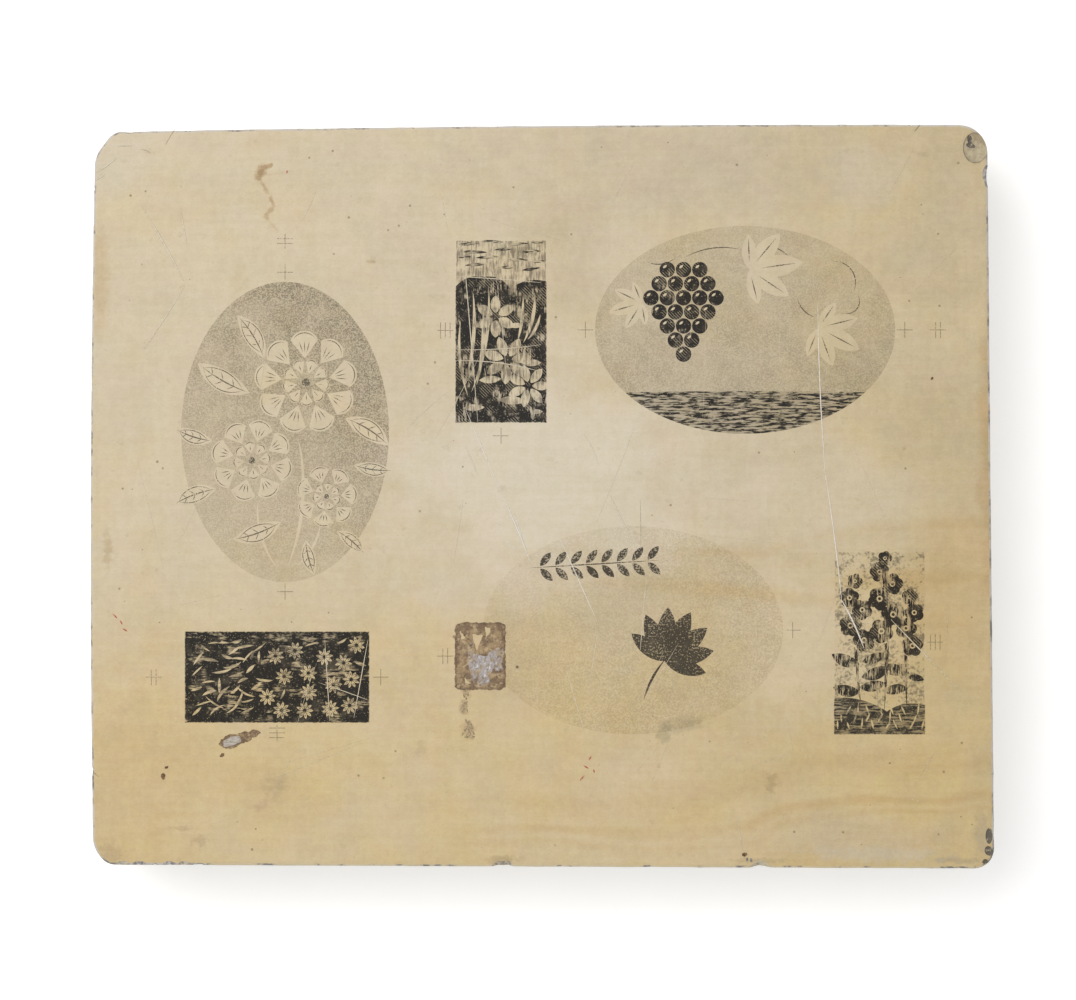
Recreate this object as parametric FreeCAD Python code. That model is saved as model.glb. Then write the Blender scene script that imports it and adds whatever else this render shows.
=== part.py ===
"""Lithographic stone: a slab of fine limestone with greasy-ink drawings and old gum on its ground face.

Millimetres. The slab lies on its underside, and the origin is the middle of that underside.
+X runs along the long side, +Y to the back long side, and +Z out of the ground face.
"""

import FreeCAD
import Part
import math
import os
import random

Vector = FreeCAD.Vector
ORIGIN = Vector(0, 0, 0)
UP = Vector(0, 0, 1)

# Slab
slab_width = 432.0
slab_depth = 356.0
slab_thickness = 64.0
back_right_corner_radius = 14.0
front_right_corner_radius = 10.0
# The two left corners are struck off by a straight cut, whose ends are then rounded.
back_left_cut_width = 9.0
back_left_cut_depth = 12.0
front_left_cut_width = 6.5
front_left_cut_depth = 9.0
cut_end_radius = 7.0
arris_radius = 1.6
foot_chamfer = 2.4

# Chips broken out of the upper edge: length along it, reach over the ground face, reach down the side
small_chip_length = 4.2
small_chip_reach = 1.4
small_chip_drop = 1.8
long_chip_length = 13.0
long_chip_reach = 3.4
long_chip_drop = 3.2

# Shallow shell-shaped scar and deeper pits in the ground face
scar_diameter = 11.4
scar_depth = 1.1
pit_diameter = 5.4
pit_depth = 1.2

# Ink
ink_thickness = 0.05
stroke_width = 0.60
fine_stroke_width = 0.42
ink_gap = 0.30

# Printed areas: three ovals share one size, and three panels share another
oval_length = 143.0
oval_breadth = 99.0
panel_length = 88.0
panel_breadth = 43.5

# Motifs
grape_radius = 3.7
grape_gap = 0.35
daisy_radius = 4.2
grass_length = 9.0
grass_width = 1.0
panel_margin = 1.2

# Register marks
mark_length = 7.6
mark_line_width = 0.30

# Old gum: a rounded patch, a bloom of crystals on it, drips below it, and a smear with a scrap of paper
gum_patch_width = 24.0
gum_patch_length = 32.0
gum_patch_corner_radius = 3.0
gum_thickness = 0.45
bloom_thickness = 0.20
drip_length = 5.2
drip_width = 2.6
smear_length = 20.0
smear_width = 6.4
smear_thickness = 0.35
smear_drop = 7.8
scrap_length = 9.0
scrap_width = 4.6
scrap_thickness = 0.12

# Specks of ink and grit, and flecks of red crayon
speck_diameter = 1.0
grit_diameter = 2.6
grit_thickness = 0.50
crayon_length = 3.0
crayon_width = 0.7
crayon_thickness = 0.08

# Reach of a search round a place, and past an edge
overrun = 1.0

# Width and height of each printed area
print_sizes = {
    "left_oval": (oval_breadth, oval_length),
    "right_oval": (oval_length, oval_breadth),
    "middle_oval": (oval_length, oval_breadth),
    "top_panel": (panel_breadth, panel_length),
    "left_panel": (panel_length, panel_breadth),
    "right_panel": (panel_breadth, panel_length),
}
# The prints lie in two rows, from left to right, and three columns, from back to front.
print_rows = [("left_oval", "top_panel", "right_oval"), ("left_panel", "middle_oval", "right_panel")]
print_columns = [("left_oval", "left_panel"), ("top_panel", "middle_oval"), ("right_oval", "right_panel")]
# How much of the bare room in its row lies left of a print, and how much of its column's lies behind it.
print_place_shares = {
    "left_oval": (0.2997, 0.4475),
    "right_oval": (0.6733, 0.2912),
    "middle_oval": (0.6333, 0.6171),
    "top_panel": (0.5160, 0.3253),
    "left_panel": (0.2895, 0.5867),
    "right_panel": (0.7873, 0.6185),
}


# Outlines in the plane

# A side that swells by less than this share of its length is drawn straight.
straight_limit_share = 0.002


def polar(radius, degrees):
    """Vector of that length at that angle from +X."""
    return Vector(radius * math.cos(math.radians(degrees)), radius * math.sin(math.radians(degrees)), 0)


def left_of(start, end):
    """Unit vector to the left of the way from start to end."""
    along = (end - start).normalize()
    return Vector(-along.y, along.x, 0)


def line(start, end):
    return Part.LineSegment(start, end).toShape()


def bow(start, end, rise):
    """Edge from start to end that swells to its left by rise at mid-length."""
    if abs(rise) < (end - start).Length * straight_limit_share:
        return line(start, end)
    return Part.Arc(start, (start + end) / 2 + left_of(start, end) * rise, end).toShape()


def face_of(edges):
    return Part.Face(Part.Wire(edges))


def polygon(points):
    return Part.Face(Part.makePolygon(points + points[:1]))


def blade(base, tip, width, bend=0):
    """Pointed stroke from base to tip, whose middle line swells to its left by bend."""
    return face_of([bow(base, tip, bend - width / 2), bow(tip, base, -bend - width / 2)])


def needle(base, tip, width):
    """Straight pen line from base to tip, widest at mid-length."""
    off = left_of(base, tip) * (width / 2)
    middle = (base + tip) / 2
    return polygon([base, middle - off, tip, middle + off])


def leaf(base, heading, length, width, bend=0):
    return blade(base, base + polar(length, heading), width, bend)


def disc(centre, radius):
    return Part.Face(Part.Wire(Part.Circle(centre, UP, radius).toShape()))


def oval(size):
    """Ellipse about the origin with the given width and height."""
    ellipse = Part.Ellipse(ORIGIN, max(size) / 2, min(size) / 2).toShape()
    face = Part.Face(Part.Wire(ellipse))
    if size[1] > size[0]:
        face.rotate(ORIGIN, UP, 90)
    return face


def rectangle(width, height, centre=ORIGIN):
    corners = ((-1, -1), (1, -1), (1, 1), (-1, 1))
    return polygon([centre + Vector(u * width / 2, v * height / 2, 0) for u, v in corners])


def spot(size, u_share, v_share):
    """Point of a printed area, from shares of its width and height, from its middle."""
    return Vector(size[0] * u_share, size[1] * v_share, 0)


def merged(faces):
    """Faces joined where they overlap."""
    prisms = [face.extrude(UP * overrun) for face in faces]
    joined = prisms[0].multiFuse(prisms[1:]).removeSplitter()
    tops = [face for face in joined.Faces if face.BoundBox.ZMin > overrun / 2]
    for face in tops:
        face.translate(UP * -overrun)
    return tops


def cut(faces, tools):
    """What the tools leave of the faces."""
    if not tools:
        return faces
    return [piece for face in faces for piece in face.cut(tools).Faces]


# Pieces

def save(name, solids):
    for solid in solids:
        if not solid.isValid() or solid.Volume <= 0:
            print("not valid:", name, solid.Volume)
    Part.makeCompound(solids).exportStep(f"parts/{name}.step")
    print(name, len(solids), "solids", round(sum(solid.Volume for solid in solids), 3), "mm3")


def on_face(place_share, level=0):
    """Point of the ground face from shares of the slab's width and depth, raised by level."""
    return Vector(slab_width * place_share[0], slab_depth * place_share[1], slab_thickness + level)


def film(name, faces, place=None, thickness=ink_thickness, level=0):
    """Gives flat faces a thickness and lays them on the ground face, about a place or the slab's middle."""
    if place is None:
        place = on_face((0, 0))
    solids = []
    for face in faces:
        solid = face.extrude(UP * thickness)
        solid.translate(place + UP * level)
        solids.append(solid)
    save(name, solids)


def bare_room(line_of_prints, axis):
    """What a row of prints leaves of the slab's width, or a column of its depth."""
    return (slab_width, slab_depth)[axis] - sum(print_sizes[name][axis] for name in line_of_prints)


def print_place(name, lines_of_prints, axis):
    """Distance from the left side, or from the back, to the middle of a print."""
    line_of_prints = [names for names in lines_of_prints if name in names][0]
    before = sum(print_sizes[other][axis] for other in line_of_prints[:line_of_prints.index(name)])
    room = bare_room(line_of_prints, axis) * print_place_shares[name][axis]
    return room + before + print_sizes[name][axis] / 2


def print_middle(name):
    from_left, from_back = print_place(name, print_rows, 0), print_place(name, print_columns, 1)
    return Vector(from_left - slab_width / 2, slab_depth / 2 - from_back, slab_thickness)


# Slab

# Corners before rounding, as shares of the width and the depth from the middle, round from the back left.
corner_place_shares = [(-0.4945, 0.4886), (0.4923, 0.4986), (0.5000, -0.5000), (-0.4967, -0.4947)]
# How far the back, right, front and left sides swell out, as shares of the depth.
side_swell_shares = [0.0040, 0, 0, 0.0047]
side_names = ["back", "right", "front", "left"]
# Side, place along it from the left or from the back, and whether the chip is long or small.
chip_place_shares = [
    ("front", 0.456, "long"),
    ("front", 0.748, "long"),
    ("front", 0.114, "long"),
    ("front", 0.062, "small"),
    ("front", 0.564, "small"),
    ("front", 0.938, "small"),
    ("back", 0.103, "small"),
    ("back", 0.922, "small"),
    ("right", 0.071, "long"),
    ("right", 0.279, "small"),
    ("right", 0.440, "small"),
    ("left", 0.067, "small"),
    ("left", 0.663, "small"),
    ("left", 0.873, "small"),
]
scar_place_share = (0.4765, 0.4612)
# Places of the pits, and each one's diameter as a share of the pit diameter.
pit_place_shares = [(0.4878, -0.4560, 1.00), (0.4876, -0.4745, 0.86), (0.4845, -0.4872, 0.62)]


def corner(k):
    u_share, v_share = corner_place_shares[k % len(corner_place_shares)]
    return Vector(slab_width * u_share, slab_depth * v_share, 0)


def side_edge(k):
    """Side k as it would run between two sharp corners. Its left is outwards."""
    return bow(corner(k), corner(k + 1), slab_depth * side_swell_shares[k])


def side_point(side, share):
    """Point of a side, and the way that it faces."""
    edge = side_edge(side_names.index(side))
    if side in ("front", "left"):
        share = 1 - share
    where = edge.FirstParameter + (edge.LastParameter - edge.FirstParameter) * share
    along = edge.tangentAt(where)
    return edge.valueAt(where), Vector(-along.y, along.x, 0).normalize()


def edge_chip(side, share, kind):
    """Ball that breaks a shell-shaped chip out of the upper edge."""
    length, reach, drop = {
        "small": (small_chip_length, small_chip_reach, small_chip_drop),
        "long": (long_chip_length, long_chip_reach, long_chip_drop),
    }[kind]
    point, outward = side_point(side, share)
    # The ball passes through both ends of the chip, and reaches just so far in and down at its middle.
    half = length / 2
    out = (half * half - reach * reach) / (2 * reach)
    above = (half * half - drop * drop) / (2 * drop)
    radius = math.sqrt(half * half + out * out + above * above)
    return Part.makeSphere(radius, point + outward * out + UP * (slab_thickness + above))


def scoop(place_share, diameter, depth):
    """Ball that scoops a shallow round hollow out of the ground face."""
    radius = (diameter * diameter / 4 + depth * depth) / (2 * depth)
    return Part.makeSphere(radius, on_face(place_share, radius - depth))


def corner_cut(k, cut_width, cut_depth):
    """Prism that strikes a left corner off."""
    point = corner(k)
    inward = Vector(cut_width, 0, 0)
    along = Vector(0, -math.copysign(cut_depth, point.y), 0)
    past = (inward + along) * -1
    face = polygon([point + inward * 2 - along, point + along * 2 - inward, point + past])
    return face.extrude(UP * slab_thickness)


def upright_edges(solid, point, reach):
    """Upright edges of the solid within reach of a point of its outline."""
    found = []
    for edge in solid.Edges:
        feet = [Vector(v.X, v.Y, 0) for v in edge.Vertexes]
        if len(feet) == 2 and (feet[0] - feet[1]).Length < ink_gap and (feet[0] - point).Length < reach:
            found.append(edge)
    return found


def level_edges(solid, level):
    return [edge for edge in solid.Edges if all(abs(v.Z - level) < overrun / 2 for v in edge.Vertexes)]


def stone_slab():
    slab = face_of([side_edge(k) for k in range(4)]).extrude(UP * slab_thickness)
    for k, cut_width, cut_depth in (
        (0, back_left_cut_width, back_left_cut_depth),
        (3, front_left_cut_width, front_left_cut_depth),
    ):
        slab = slab.cut(corner_cut(k, cut_width, cut_depth))
        ends = upright_edges(slab, corner(k), 2 * (cut_width + cut_depth))
        slab = slab.makeFillet(cut_end_radius, ends)
    for k, radius in ((1, back_right_corner_radius), (2, front_right_corner_radius)):
        slab = slab.makeFillet(radius, upright_edges(slab, corner(k), overrun))
    slab = slab.makeFillet(arris_radius, level_edges(slab, slab_thickness))
    slab = slab.makeChamfer(foot_chamfer, level_edges(slab, 0))
    tools = [edge_chip(*row) for row in chip_place_shares]
    tools.append(scoop(scar_place_share, scar_diameter, scar_depth))
    for u_share, v_share, size_share in pit_place_shares:
        tools.append(scoop((u_share, v_share), pit_diameter * size_share, pit_depth * size_share))
    save("stone_slab", slab.cut(tools).Solids)


# Flowers and leaves that the prints are built from

petal_shoulder_share = 0.74
petal_spread_share = 0.90
flower_eye_share = 0.17
flower_ring_share = 0.46
vein_start_share = 0.22
vein_end_share = 0.62
vein_lean_share = 0.20
rim_span_share = 0.78
rim_foot_share = 0.16
rim_rise_share = 0.60
rib_inset_share = 0.04
rim_inset_share = 0.12
side_vein_share = 0.22
side_vein_angle = 48
side_vein_place_shares = (0.28, 0.48, 0.68)


def petal(centre, heading, inner, outer, spread):
    """Fan-shaped petal between two radii, with a round tip, spread degrees wide."""
    shoulder = inner + (outer - inner) * petal_shoulder_share
    base = centre + polar(inner, heading)
    right = centre + polar(shoulder, heading - spread / 2)
    left = centre + polar(shoulder, heading + spread / 2)
    tip = centre + polar(outer, heading)
    return face_of([line(base, right), Part.Arc(right, tip, left).toShape(), line(left, base)])


def petal_rim(centre, heading, inner, outer, spread):
    """Curved stroke just inside a petal's round tip."""
    shoulder = inner + (outer - inner) * petal_shoulder_share
    half_span = shoulder * math.sin(math.radians(spread / 2)) * rim_span_share
    foot = shoulder * math.cos(math.radians(spread / 2))
    rise = outer - foot
    middle = centre + polar(foot + rise * rim_foot_share, heading)
    side = polar(half_span, heading + 90)
    return blade(middle - side, middle + side, fine_stroke_width, -rise * rim_rise_share)


def flower_rings(radius, petals, turn):
    """Both rings of a double flower, as inner radius, outer radius, spread and headings."""
    step = 360 / petals
    ring, eye = radius * flower_ring_share, radius * flower_eye_share
    spread = step * petal_spread_share
    outer = (ring, radius, spread, [turn + k * step for k in range(petals)])
    inner = (eye, ring, spread, [turn + (k + 0.5) * step for k in range(petals)])
    return [outer, inner]


def flower_petals(centre, radius, petals, turn):
    """Petals of a double flower, left bare in the ground."""
    found = []
    for inner, outer, spread, headings in flower_rings(radius, petals, turn):
        found += [petal(centre, heading, inner, outer, spread) for heading in headings]
    return found


def flower_eye(centre, radius, petals, turn):
    """Dark eye of a double flower, cut out of the ground around it."""
    return [disc(centre, radius * flower_eye_share * flower_ring_share)]


def flower_strokes(centre, radius, petals, turn):
    """Pen strokes of a double flower: a rim and veins in each petal."""
    rings = flower_rings(radius, petals, turn)
    strokes = []
    for inner, outer, spread, headings in rings:
        reach = outer - inner
        leans = (-vein_lean_share, 0, vein_lean_share) if inner == rings[0][0] else (0,)
        for heading in headings:
            strokes.append(petal_rim(centre, heading, inner, outer, spread))
            for lean in leans:
                start = centre + polar(inner + reach * vein_start_share, heading + lean * spread / 2)
                end = centre + polar(inner + reach * vein_end_share, heading + lean * spread)
                strokes.append(needle(start, end, fine_stroke_width))
    return strokes


def swell_at(share):
    """How far a curved stroke stands off its chord at a share of its length, as a share of its bend."""
    return 4 * share * (1 - share)


def leaf_strokes(base, heading, length, width, bend):
    """Pen strokes inside a leaf: a rim along both edges, a longer midrib and three pairs of side veins."""
    left = polar(1, heading + 90)

    def on_rib(share):
        return base + polar(length * share, heading) + left * (bend * swell_at(share))

    def along_rib(inset_share, stroke, off):
        rib_bend = bend * (1 - swell_at(inset_share))
        return blade(on_rib(inset_share), on_rib(1 - inset_share), stroke, rib_bend + off)

    rim_off = width / 2 - ink_gap - fine_stroke_width
    strokes = [along_rib(rim_inset_share, fine_stroke_width, side * rim_off) for side in (-1, 1)]
    strokes.append(along_rib(rib_inset_share, stroke_width, 0))
    for share in side_vein_place_shares:
        for side in (-1, 1):
            reach = width * swell_at(share) * side_vein_share * 2
            tip = on_rib(share) + polar(reach, heading + side * side_vein_angle)
            strokes.append(needle(on_rib(share), tip, fine_stroke_width))
    return strokes


def flowers_in(size, table, make):
    """Flowers from rows of place, radius as a share of the area's width, petals and turn."""
    found = []
    for u_share, v_share, radius_share, petals, turn in table:
        found += make(spot(size, u_share, v_share), size[0] * radius_share, petals, turn)
    return found


def leaves_in(size, table, make):
    """Leaves from rows of base, heading, length as a share of the area, and width and bend as shares of it."""
    found = []
    for u_share, v_share, heading, length_share, width_share, bend_share in table:
        base, length = spot(size, u_share, v_share), max(size) * length_share
        found += make(base, heading, length, length * width_share, length * bend_share)
    return found


def one_leaf(base, heading, length, width, bend):
    return [leaf(base, heading, length, width, bend)]


def blades_in(size, table):
    """Blades from rows of foot, tip, width as a share of the area and bend as a share of the length."""
    found = []
    for u_share, v_share, tip_u_share, tip_v_share, width_share, bend_share in table:
        base, tip = spot(size, u_share, v_share), spot(size, tip_u_share, tip_v_share)
        found.append(blade(base, tip, max(size) * width_share, (tip - base).Length * bend_share))
    return found


# Left oval: a stippled ground with a spray of double flowers

left_flower_shares = [
    (0.10, 0.165, 0.250, 9, 12),
    (-0.16, -0.095, 0.200, 8, 30),
    (0.20, -0.215, 0.150, 7, 5),
]
left_leaf_shares = [
    (-0.17, 0.130, 150, 0.20, 0.36, 0.05),
    (-0.10, 0.245, 122, 0.17, 0.36, -0.05),
    (0.29, 0.045, -32, 0.17, 0.38, 0.06),
    (0.33, -0.110, -8, 0.13, 0.36, -0.05),
    (-0.35, -0.030, 162, 0.13, 0.38, 0.05),
    (-0.33, -0.190, 200, 0.15, 0.38, -0.05),
    (-0.02, -0.300, 200, 0.17, 0.36, 0.05),
    (0.10, -0.360, 284, 0.12, 0.38, -0.05),
    (0.25, -0.330, -40, 0.12, 0.38, 0.05),
]
left_stem_shares = [
    (0.00, -0.470, 0.06, -0.010, 0.012, -0.08),
    (-0.03, -0.460, -0.13, -0.225, 0.010, 0.10),
    (0.05, -0.450, 0.17, -0.305, 0.010, -0.10),
]


def left_oval():
    size = print_sizes["left_oval"]
    petals = flowers_in(size, left_flower_shares, flower_petals)
    leaves = leaves_in(size, left_leaf_shares, one_leaf)
    stems = blades_in(size, left_stem_shares)
    eyes = flowers_in(size, left_flower_shares, flower_eye)
    strokes = flowers_in(size, left_flower_shares, flower_strokes)
    strokes += leaves_in(size, left_leaf_shares, leaf_strokes)
    film("left_oval_stipple", cut([oval(size)], petals + leaves + stems + eyes), print_middle("left_oval"))
    film("left_oval_line_work", merged(strokes + eyes), print_middle("left_oval"))


# Right oval: a lighter stippled ground, a dark bunch of grapes, vine leaves and a shaded table top

# Grapes in each row, from the stalk to the tip. Neighbouring rows differ by one, so that they nest.
grape_row_counts = [3, 4, 5, 4, 3, 2, 1]
grape_light_place_share = 0.50
grape_light_length_share = 0.64
grape_light_width_share = 0.30
grape_light_angle = 128
bunch_place_share = (-0.205, 0.290)
table_line_share = -0.330
table_swell_share = 0.035
vine_leaf_shares = [(0.015, 0.290, 8, 0.180), (-0.345, 0.130, 196, 0.115), (0.245, 0.010, -28, 0.155)]
vine_lobe_shares = [(-84, 0.66), (-42, 0.88), (0, 1.00), (42, 0.88), (84, 0.66)]
vine_lobe_width_share = 0.40
tendril_shares = [
    (-0.205, 0.345, -0.010, 0.385, 0.004, 0.10),
    (0.030, 0.395, 0.150, 0.345, 0.004, 0.16),
    (0.175, 0.150, 0.235, 0.060, 0.004, -0.14),
    (-0.330, 0.330, -0.230, 0.350, 0.004, -0.16),
    (0.290, 0.330, 0.360, 0.180, 0.004, 0.30),
    (0.375, 0.170, 0.330, 0.080, 0.004, 0.34),
]


def grapes(size):
    """Rows of round grapes, each with a light left on its shoulder."""
    pitch = 2 * grape_radius + grape_gap
    drop = pitch * math.sin(math.radians(60))
    top = spot(size, *bunch_place_share)
    fruit, lights = [], []
    for row, count in enumerate(grape_row_counts):
        for k in range(count):
            centre = top + Vector((k - (count - 1) / 2) * pitch, -row * drop, 0)
            light = centre + polar(grape_radius * grape_light_place_share, grape_light_angle)
            along = grape_light_angle - 90
            length, width = grape_radius * grape_light_length_share, grape_radius * grape_light_width_share
            fruit.append(disc(centre, grape_radius))
            lights.append(leaf(light - polar(length / 2, along), along, length, width))
    return fruit, lights


def vine_lobes(base, heading, length, width, bend):
    return [leaf(base, heading + turn, length * reach, width * reach) for turn, reach in vine_lobe_shares]


def vine_veins(base, heading, length, width, bend):
    found = []
    for turn, reach in vine_lobe_shares:
        start = base + polar(length * reach * vein_start_share, heading + turn)
        end = base + polar(length * reach * (1 - rim_inset_share), heading + turn)
        found.append(needle(start, end, stroke_width))
    return found


def table_outline(size):
    """Everything below the far edge of the table top."""
    half, level, below = size[0], size[1] * table_line_share, Vector(0, -size[1], 0)
    far_left, far_right = Vector(-half, level, 0), Vector(half, level, 0)
    return face_of([
        bow(far_right, far_left, -size[1] * table_swell_share),
        line(far_left, far_left + below),
        line(far_left + below, far_right + below),
        line(far_right + below, far_right),
    ])


def right_oval():
    size = print_sizes["right_oval"]
    place = print_middle("right_oval")
    fruit, lights = grapes(size)
    table = table_outline(size)
    vine_shares = [(*row, vine_lobe_width_share, 0) for row in vine_leaf_shares]
    lobes = merged(leaves_in(size, vine_shares, vine_lobes))
    veins = leaves_in(size, vine_shares, vine_veins)
    tendrils = merged(blades_in(size, tendril_shares))
    film("right_oval_stipple", cut([oval(size)], fruit + [table] + lobes + tendrils), place)
    film("right_oval_table_shade", cut([oval(size).common(table)], lobes + fruit), place)
    film("right_oval_grapes", cut(fruit, lights), place)
    film("right_oval_line_work", merged(veins) + cut(tendrils, fruit + lobes), place)


# Middle oval: a worn ghost of a stippled ground, one dark spray and a row of small leaves

spray_place_share = (0.105, -0.150)
spray_leaf_share = 0.185
spray_leaf_width_share = 0.36
spray_turn_angles = [-78, -50, -24, 0, 24, 50, 78]
spray_angle = 62
spray_stalk_shares = (0.80, 0.05)
row_start_share = (-0.335, 0.300)
row_end_share = (0.075, 0.335)
row_leaf_pairs = 8
row_leaf_share = 0.058
row_leaf_width_share = 0.42


def dark_spray(size):
    """Fan of leaves on one stalk, which runs a little way up into them."""
    root = spot(size, *spray_place_share)
    length = size[0] * spray_leaf_share
    found = []
    for turn in spray_turn_angles:
        reach = length * math.cos(math.radians(turn / 2))
        found.append(leaf(root, spray_angle + turn, reach, reach * spray_leaf_width_share))
    stalk_share, bend_share = spray_stalk_shares
    foot = root - polar(length * stalk_share, spray_angle)
    top = root + polar(length * bend_share, spray_angle)
    found.append(blade(foot, top, stroke_width * 2, length * bend_share))
    return merged(found)


def leaf_row(size):
    """Pairs of small leaves along a slanting stalk."""
    start, end = spot(size, *row_start_share), spot(size, *row_end_share)
    run = (end - start) / row_leaf_pairs
    heading = math.degrees(math.atan2(run.y, run.x))
    length = size[0] * row_leaf_share
    off = polar(stroke_width / 2 + ink_gap, heading + 90)
    found = [blade(start - run / 2, end + run / 2, stroke_width)]
    for k in range(row_leaf_pairs):
        root = start + run * (k + 0.5)
        for side in (-1, 1):
            turn = heading + side * side_vein_angle
            found.append(leaf(root + off * side, turn, length, length * row_leaf_width_share))
    return merged(found)


def middle_oval():
    size = print_sizes["middle_oval"]
    place = print_middle("middle_oval")
    spray, row = dark_spray(size), leaf_row(size)
    under_gum = rectangle(gum_patch_width, gum_patch_length, gum_patch_place() - place)
    film("middle_oval_ghost_stipple", cut([oval(size)], spray + row + [under_gum]), place)
    film("middle_oval_dark_spray", spray, place)
    film("middle_oval_leaf_row", row, place)


# Top panel: a dark pool under banks, with reeds, open flowers and floating leaves left bare

bank_shares = [(-0.5, 0.235), (-0.18, 0.290), (0.10, 0.225), (0.5, 0.265)]
bank_swell_share = 0.05
reed_shares = [
    (-0.40, -0.300, -0.31, 0.215, 0.020, -0.05),
    (-0.33, -0.340, -0.14, 0.245, 0.018, -0.06),
    (-0.27, -0.300, -0.20, 0.120, 0.022, -0.04),
    (-0.36, -0.360, -0.44, 0.060, 0.016, 0.06),
    (0.18, -0.060, 0.24, 0.190, 0.018, -0.04),
    (0.24, -0.070, 0.37, 0.205, 0.020, -0.07),
    (0.29, -0.050, 0.43, 0.090, 0.016, -0.08),
]
pond_flower_shares = [(0.07, -0.160, 0.27, 7, 8), (-0.06, 0.075, 0.23, 6, 30), (0.30, -0.300, 0.24, 7, 0)]
floating_leaf_shares = [
    (0.22, -0.175, 0, 0.11, 0.34, 0),
    (-0.24, -0.270, 4, 0.12, 0.34, 0),
    (-0.03, -0.375, -3, 0.15, 0.30, 0),
    (-0.42, -0.420, 2, 0.12, 0.30, 0),
    (0.08, 0.025, 3, 0.08, 0.36, 0),
    (0.32, -0.440, 0, 0.07, 0.36, 0),
]
sky_stroke_shares = [
    (-0.47, 0.465, 4, 0.110, 0.16, 0), (-0.23, 0.484, -3, 0.130, 0.14, 0), (0.10, 0.462, 6, 0.100, 0.16, 0),
    (0.33, 0.476, 0, 0.070, 0.20, 0), (-0.45, 0.428, -2, 0.150, 0.13, 0), (-0.09, 0.434, 5, 0.110, 0.16, 0),
    (0.20, 0.424, 3, 0.120, 0.15, 0), (-0.48, 0.392, 6, 0.080, 0.20, 0), (-0.28, 0.394, 2, 0.140, 0.13, 0),
    (0.06, 0.388, -4, 0.120, 0.15, 0), (0.34, 0.372, 4, 0.070, 0.22, 0), (-0.40, 0.352, 4, 0.120, 0.15, 0),
    (-0.03, 0.342, 0, 0.090, 0.18, 0), (0.23, 0.326, 8, 0.100, 0.18, 0),
]


def single_flower(centre, radius, petals, turn):
    """Open flower as one ring of pointed petals."""
    step = 360 / petals
    eye = radius * flower_eye_share
    width = radius * math.radians(step) * petal_spread_share / 2
    found = []
    for k in range(petals):
        heading = turn + k * step
        found.append(leaf(centre + polar(eye, heading), heading, radius - eye, width))
    return found


def bank_outline(size):
    """Dark part of the top panel, square below and swelling along its top."""
    crest = [spot(size, *shares) for shares in bank_shares]
    foot_left, foot_right = spot(size, -0.5, -0.5), spot(size, 0.5, -0.5)
    edges = [bow(crest[k], crest[k + 1], size[0] * bank_swell_share) for k in range(len(crest) - 1)]
    edges += [line(crest[-1], foot_right), line(foot_right, foot_left), line(foot_left, crest[0])]
    return face_of(edges)


def top_panel():
    size = print_sizes["top_panel"]
    reserve = blades_in(size, reed_shares) + flowers_in(size, pond_flower_shares, single_flower)
    reserve += leaves_in(size, floating_leaf_shares, one_leaf)
    film("top_panel_dark_pool", cut([bank_outline(size)], reserve), print_middle("top_panel"))
    strokes = leaves_in(size, sky_stroke_shares, one_leaf)
    film("top_panel_sky_strokes", cut(merged(strokes), [bank_outline(size)]), print_middle("top_panel"))


# Left panel: a dark hedge with daisies and long grass left bare

daisy_count = 17
daisy_petal_count = 9
daisy_turn_angle = 17
daisy_eye_share = 0.10
eye_stroke_share = 0.30
daisy_side_share = 0.56
daisy_draw_count = 3000
daisy_seed = 11
grass_count = 40
grass_draw_count = 2400
grass_seed = 5
grass_angle = 24
grass_scatter_angle = 26
grass_length_shares = (0.60, 1.25)
grass_width_shares = (0.80, 1.70)
grass_bend_shares = (-0.12, 0.12)
grass_spacing_share = 0.46


def daisy_places(size):
    """Places drawn at random over the right part of the panel, clear of each other and the border."""
    draw = random.Random(daisy_seed)
    room_u = size[0] / 2 - daisy_radius - panel_margin
    room_v = size[1] / 2 - daisy_radius - panel_margin
    found = []
    for _ in range(daisy_draw_count):
        leftmost = room_u * (1 - 2 * daisy_side_share)
        place = Vector(draw.uniform(leftmost, room_u), draw.uniform(-room_v, room_v), 0)
        apart = all((place - other).Length > 2 * daisy_radius + ink_gap for other in found)
        if apart and len(found) < daisy_count:
            found.append(place)
    return found


def grass_blades(size, flowers):
    """Blades of grass in what room the daisies leave, clear of each other and the border."""
    draw = random.Random(grass_seed)
    middles, found = [], []
    for _ in range(grass_draw_count):
        reach = grass_length * draw.uniform(*grass_length_shares)
        room_u, room_v = size[0] / 2 - panel_margin - reach / 2, size[1] / 2 - panel_margin - reach / 2
        middle = Vector(draw.uniform(-room_u, room_u), draw.uniform(-room_v, room_v), 0)
        heading = draw.gauss(grass_angle, grass_scatter_angle)
        width = grass_width * draw.uniform(*grass_width_shares)
        bend = reach * draw.uniform(*grass_bend_shares)
        flower_room = daisy_radius + reach / 2 + ink_gap
        near_flower = any((middle - flower).Length < flower_room for flower in flowers)
        near_blade = any((middle - other).Length < grass_length * grass_spacing_share for other in middles)
        if near_flower or near_blade or len(found) == grass_count:
            continue
        middles.append(middle)
        found.append(leaf(middle - polar(reach / 2, heading), heading, reach, width, bend))
    return found


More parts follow.
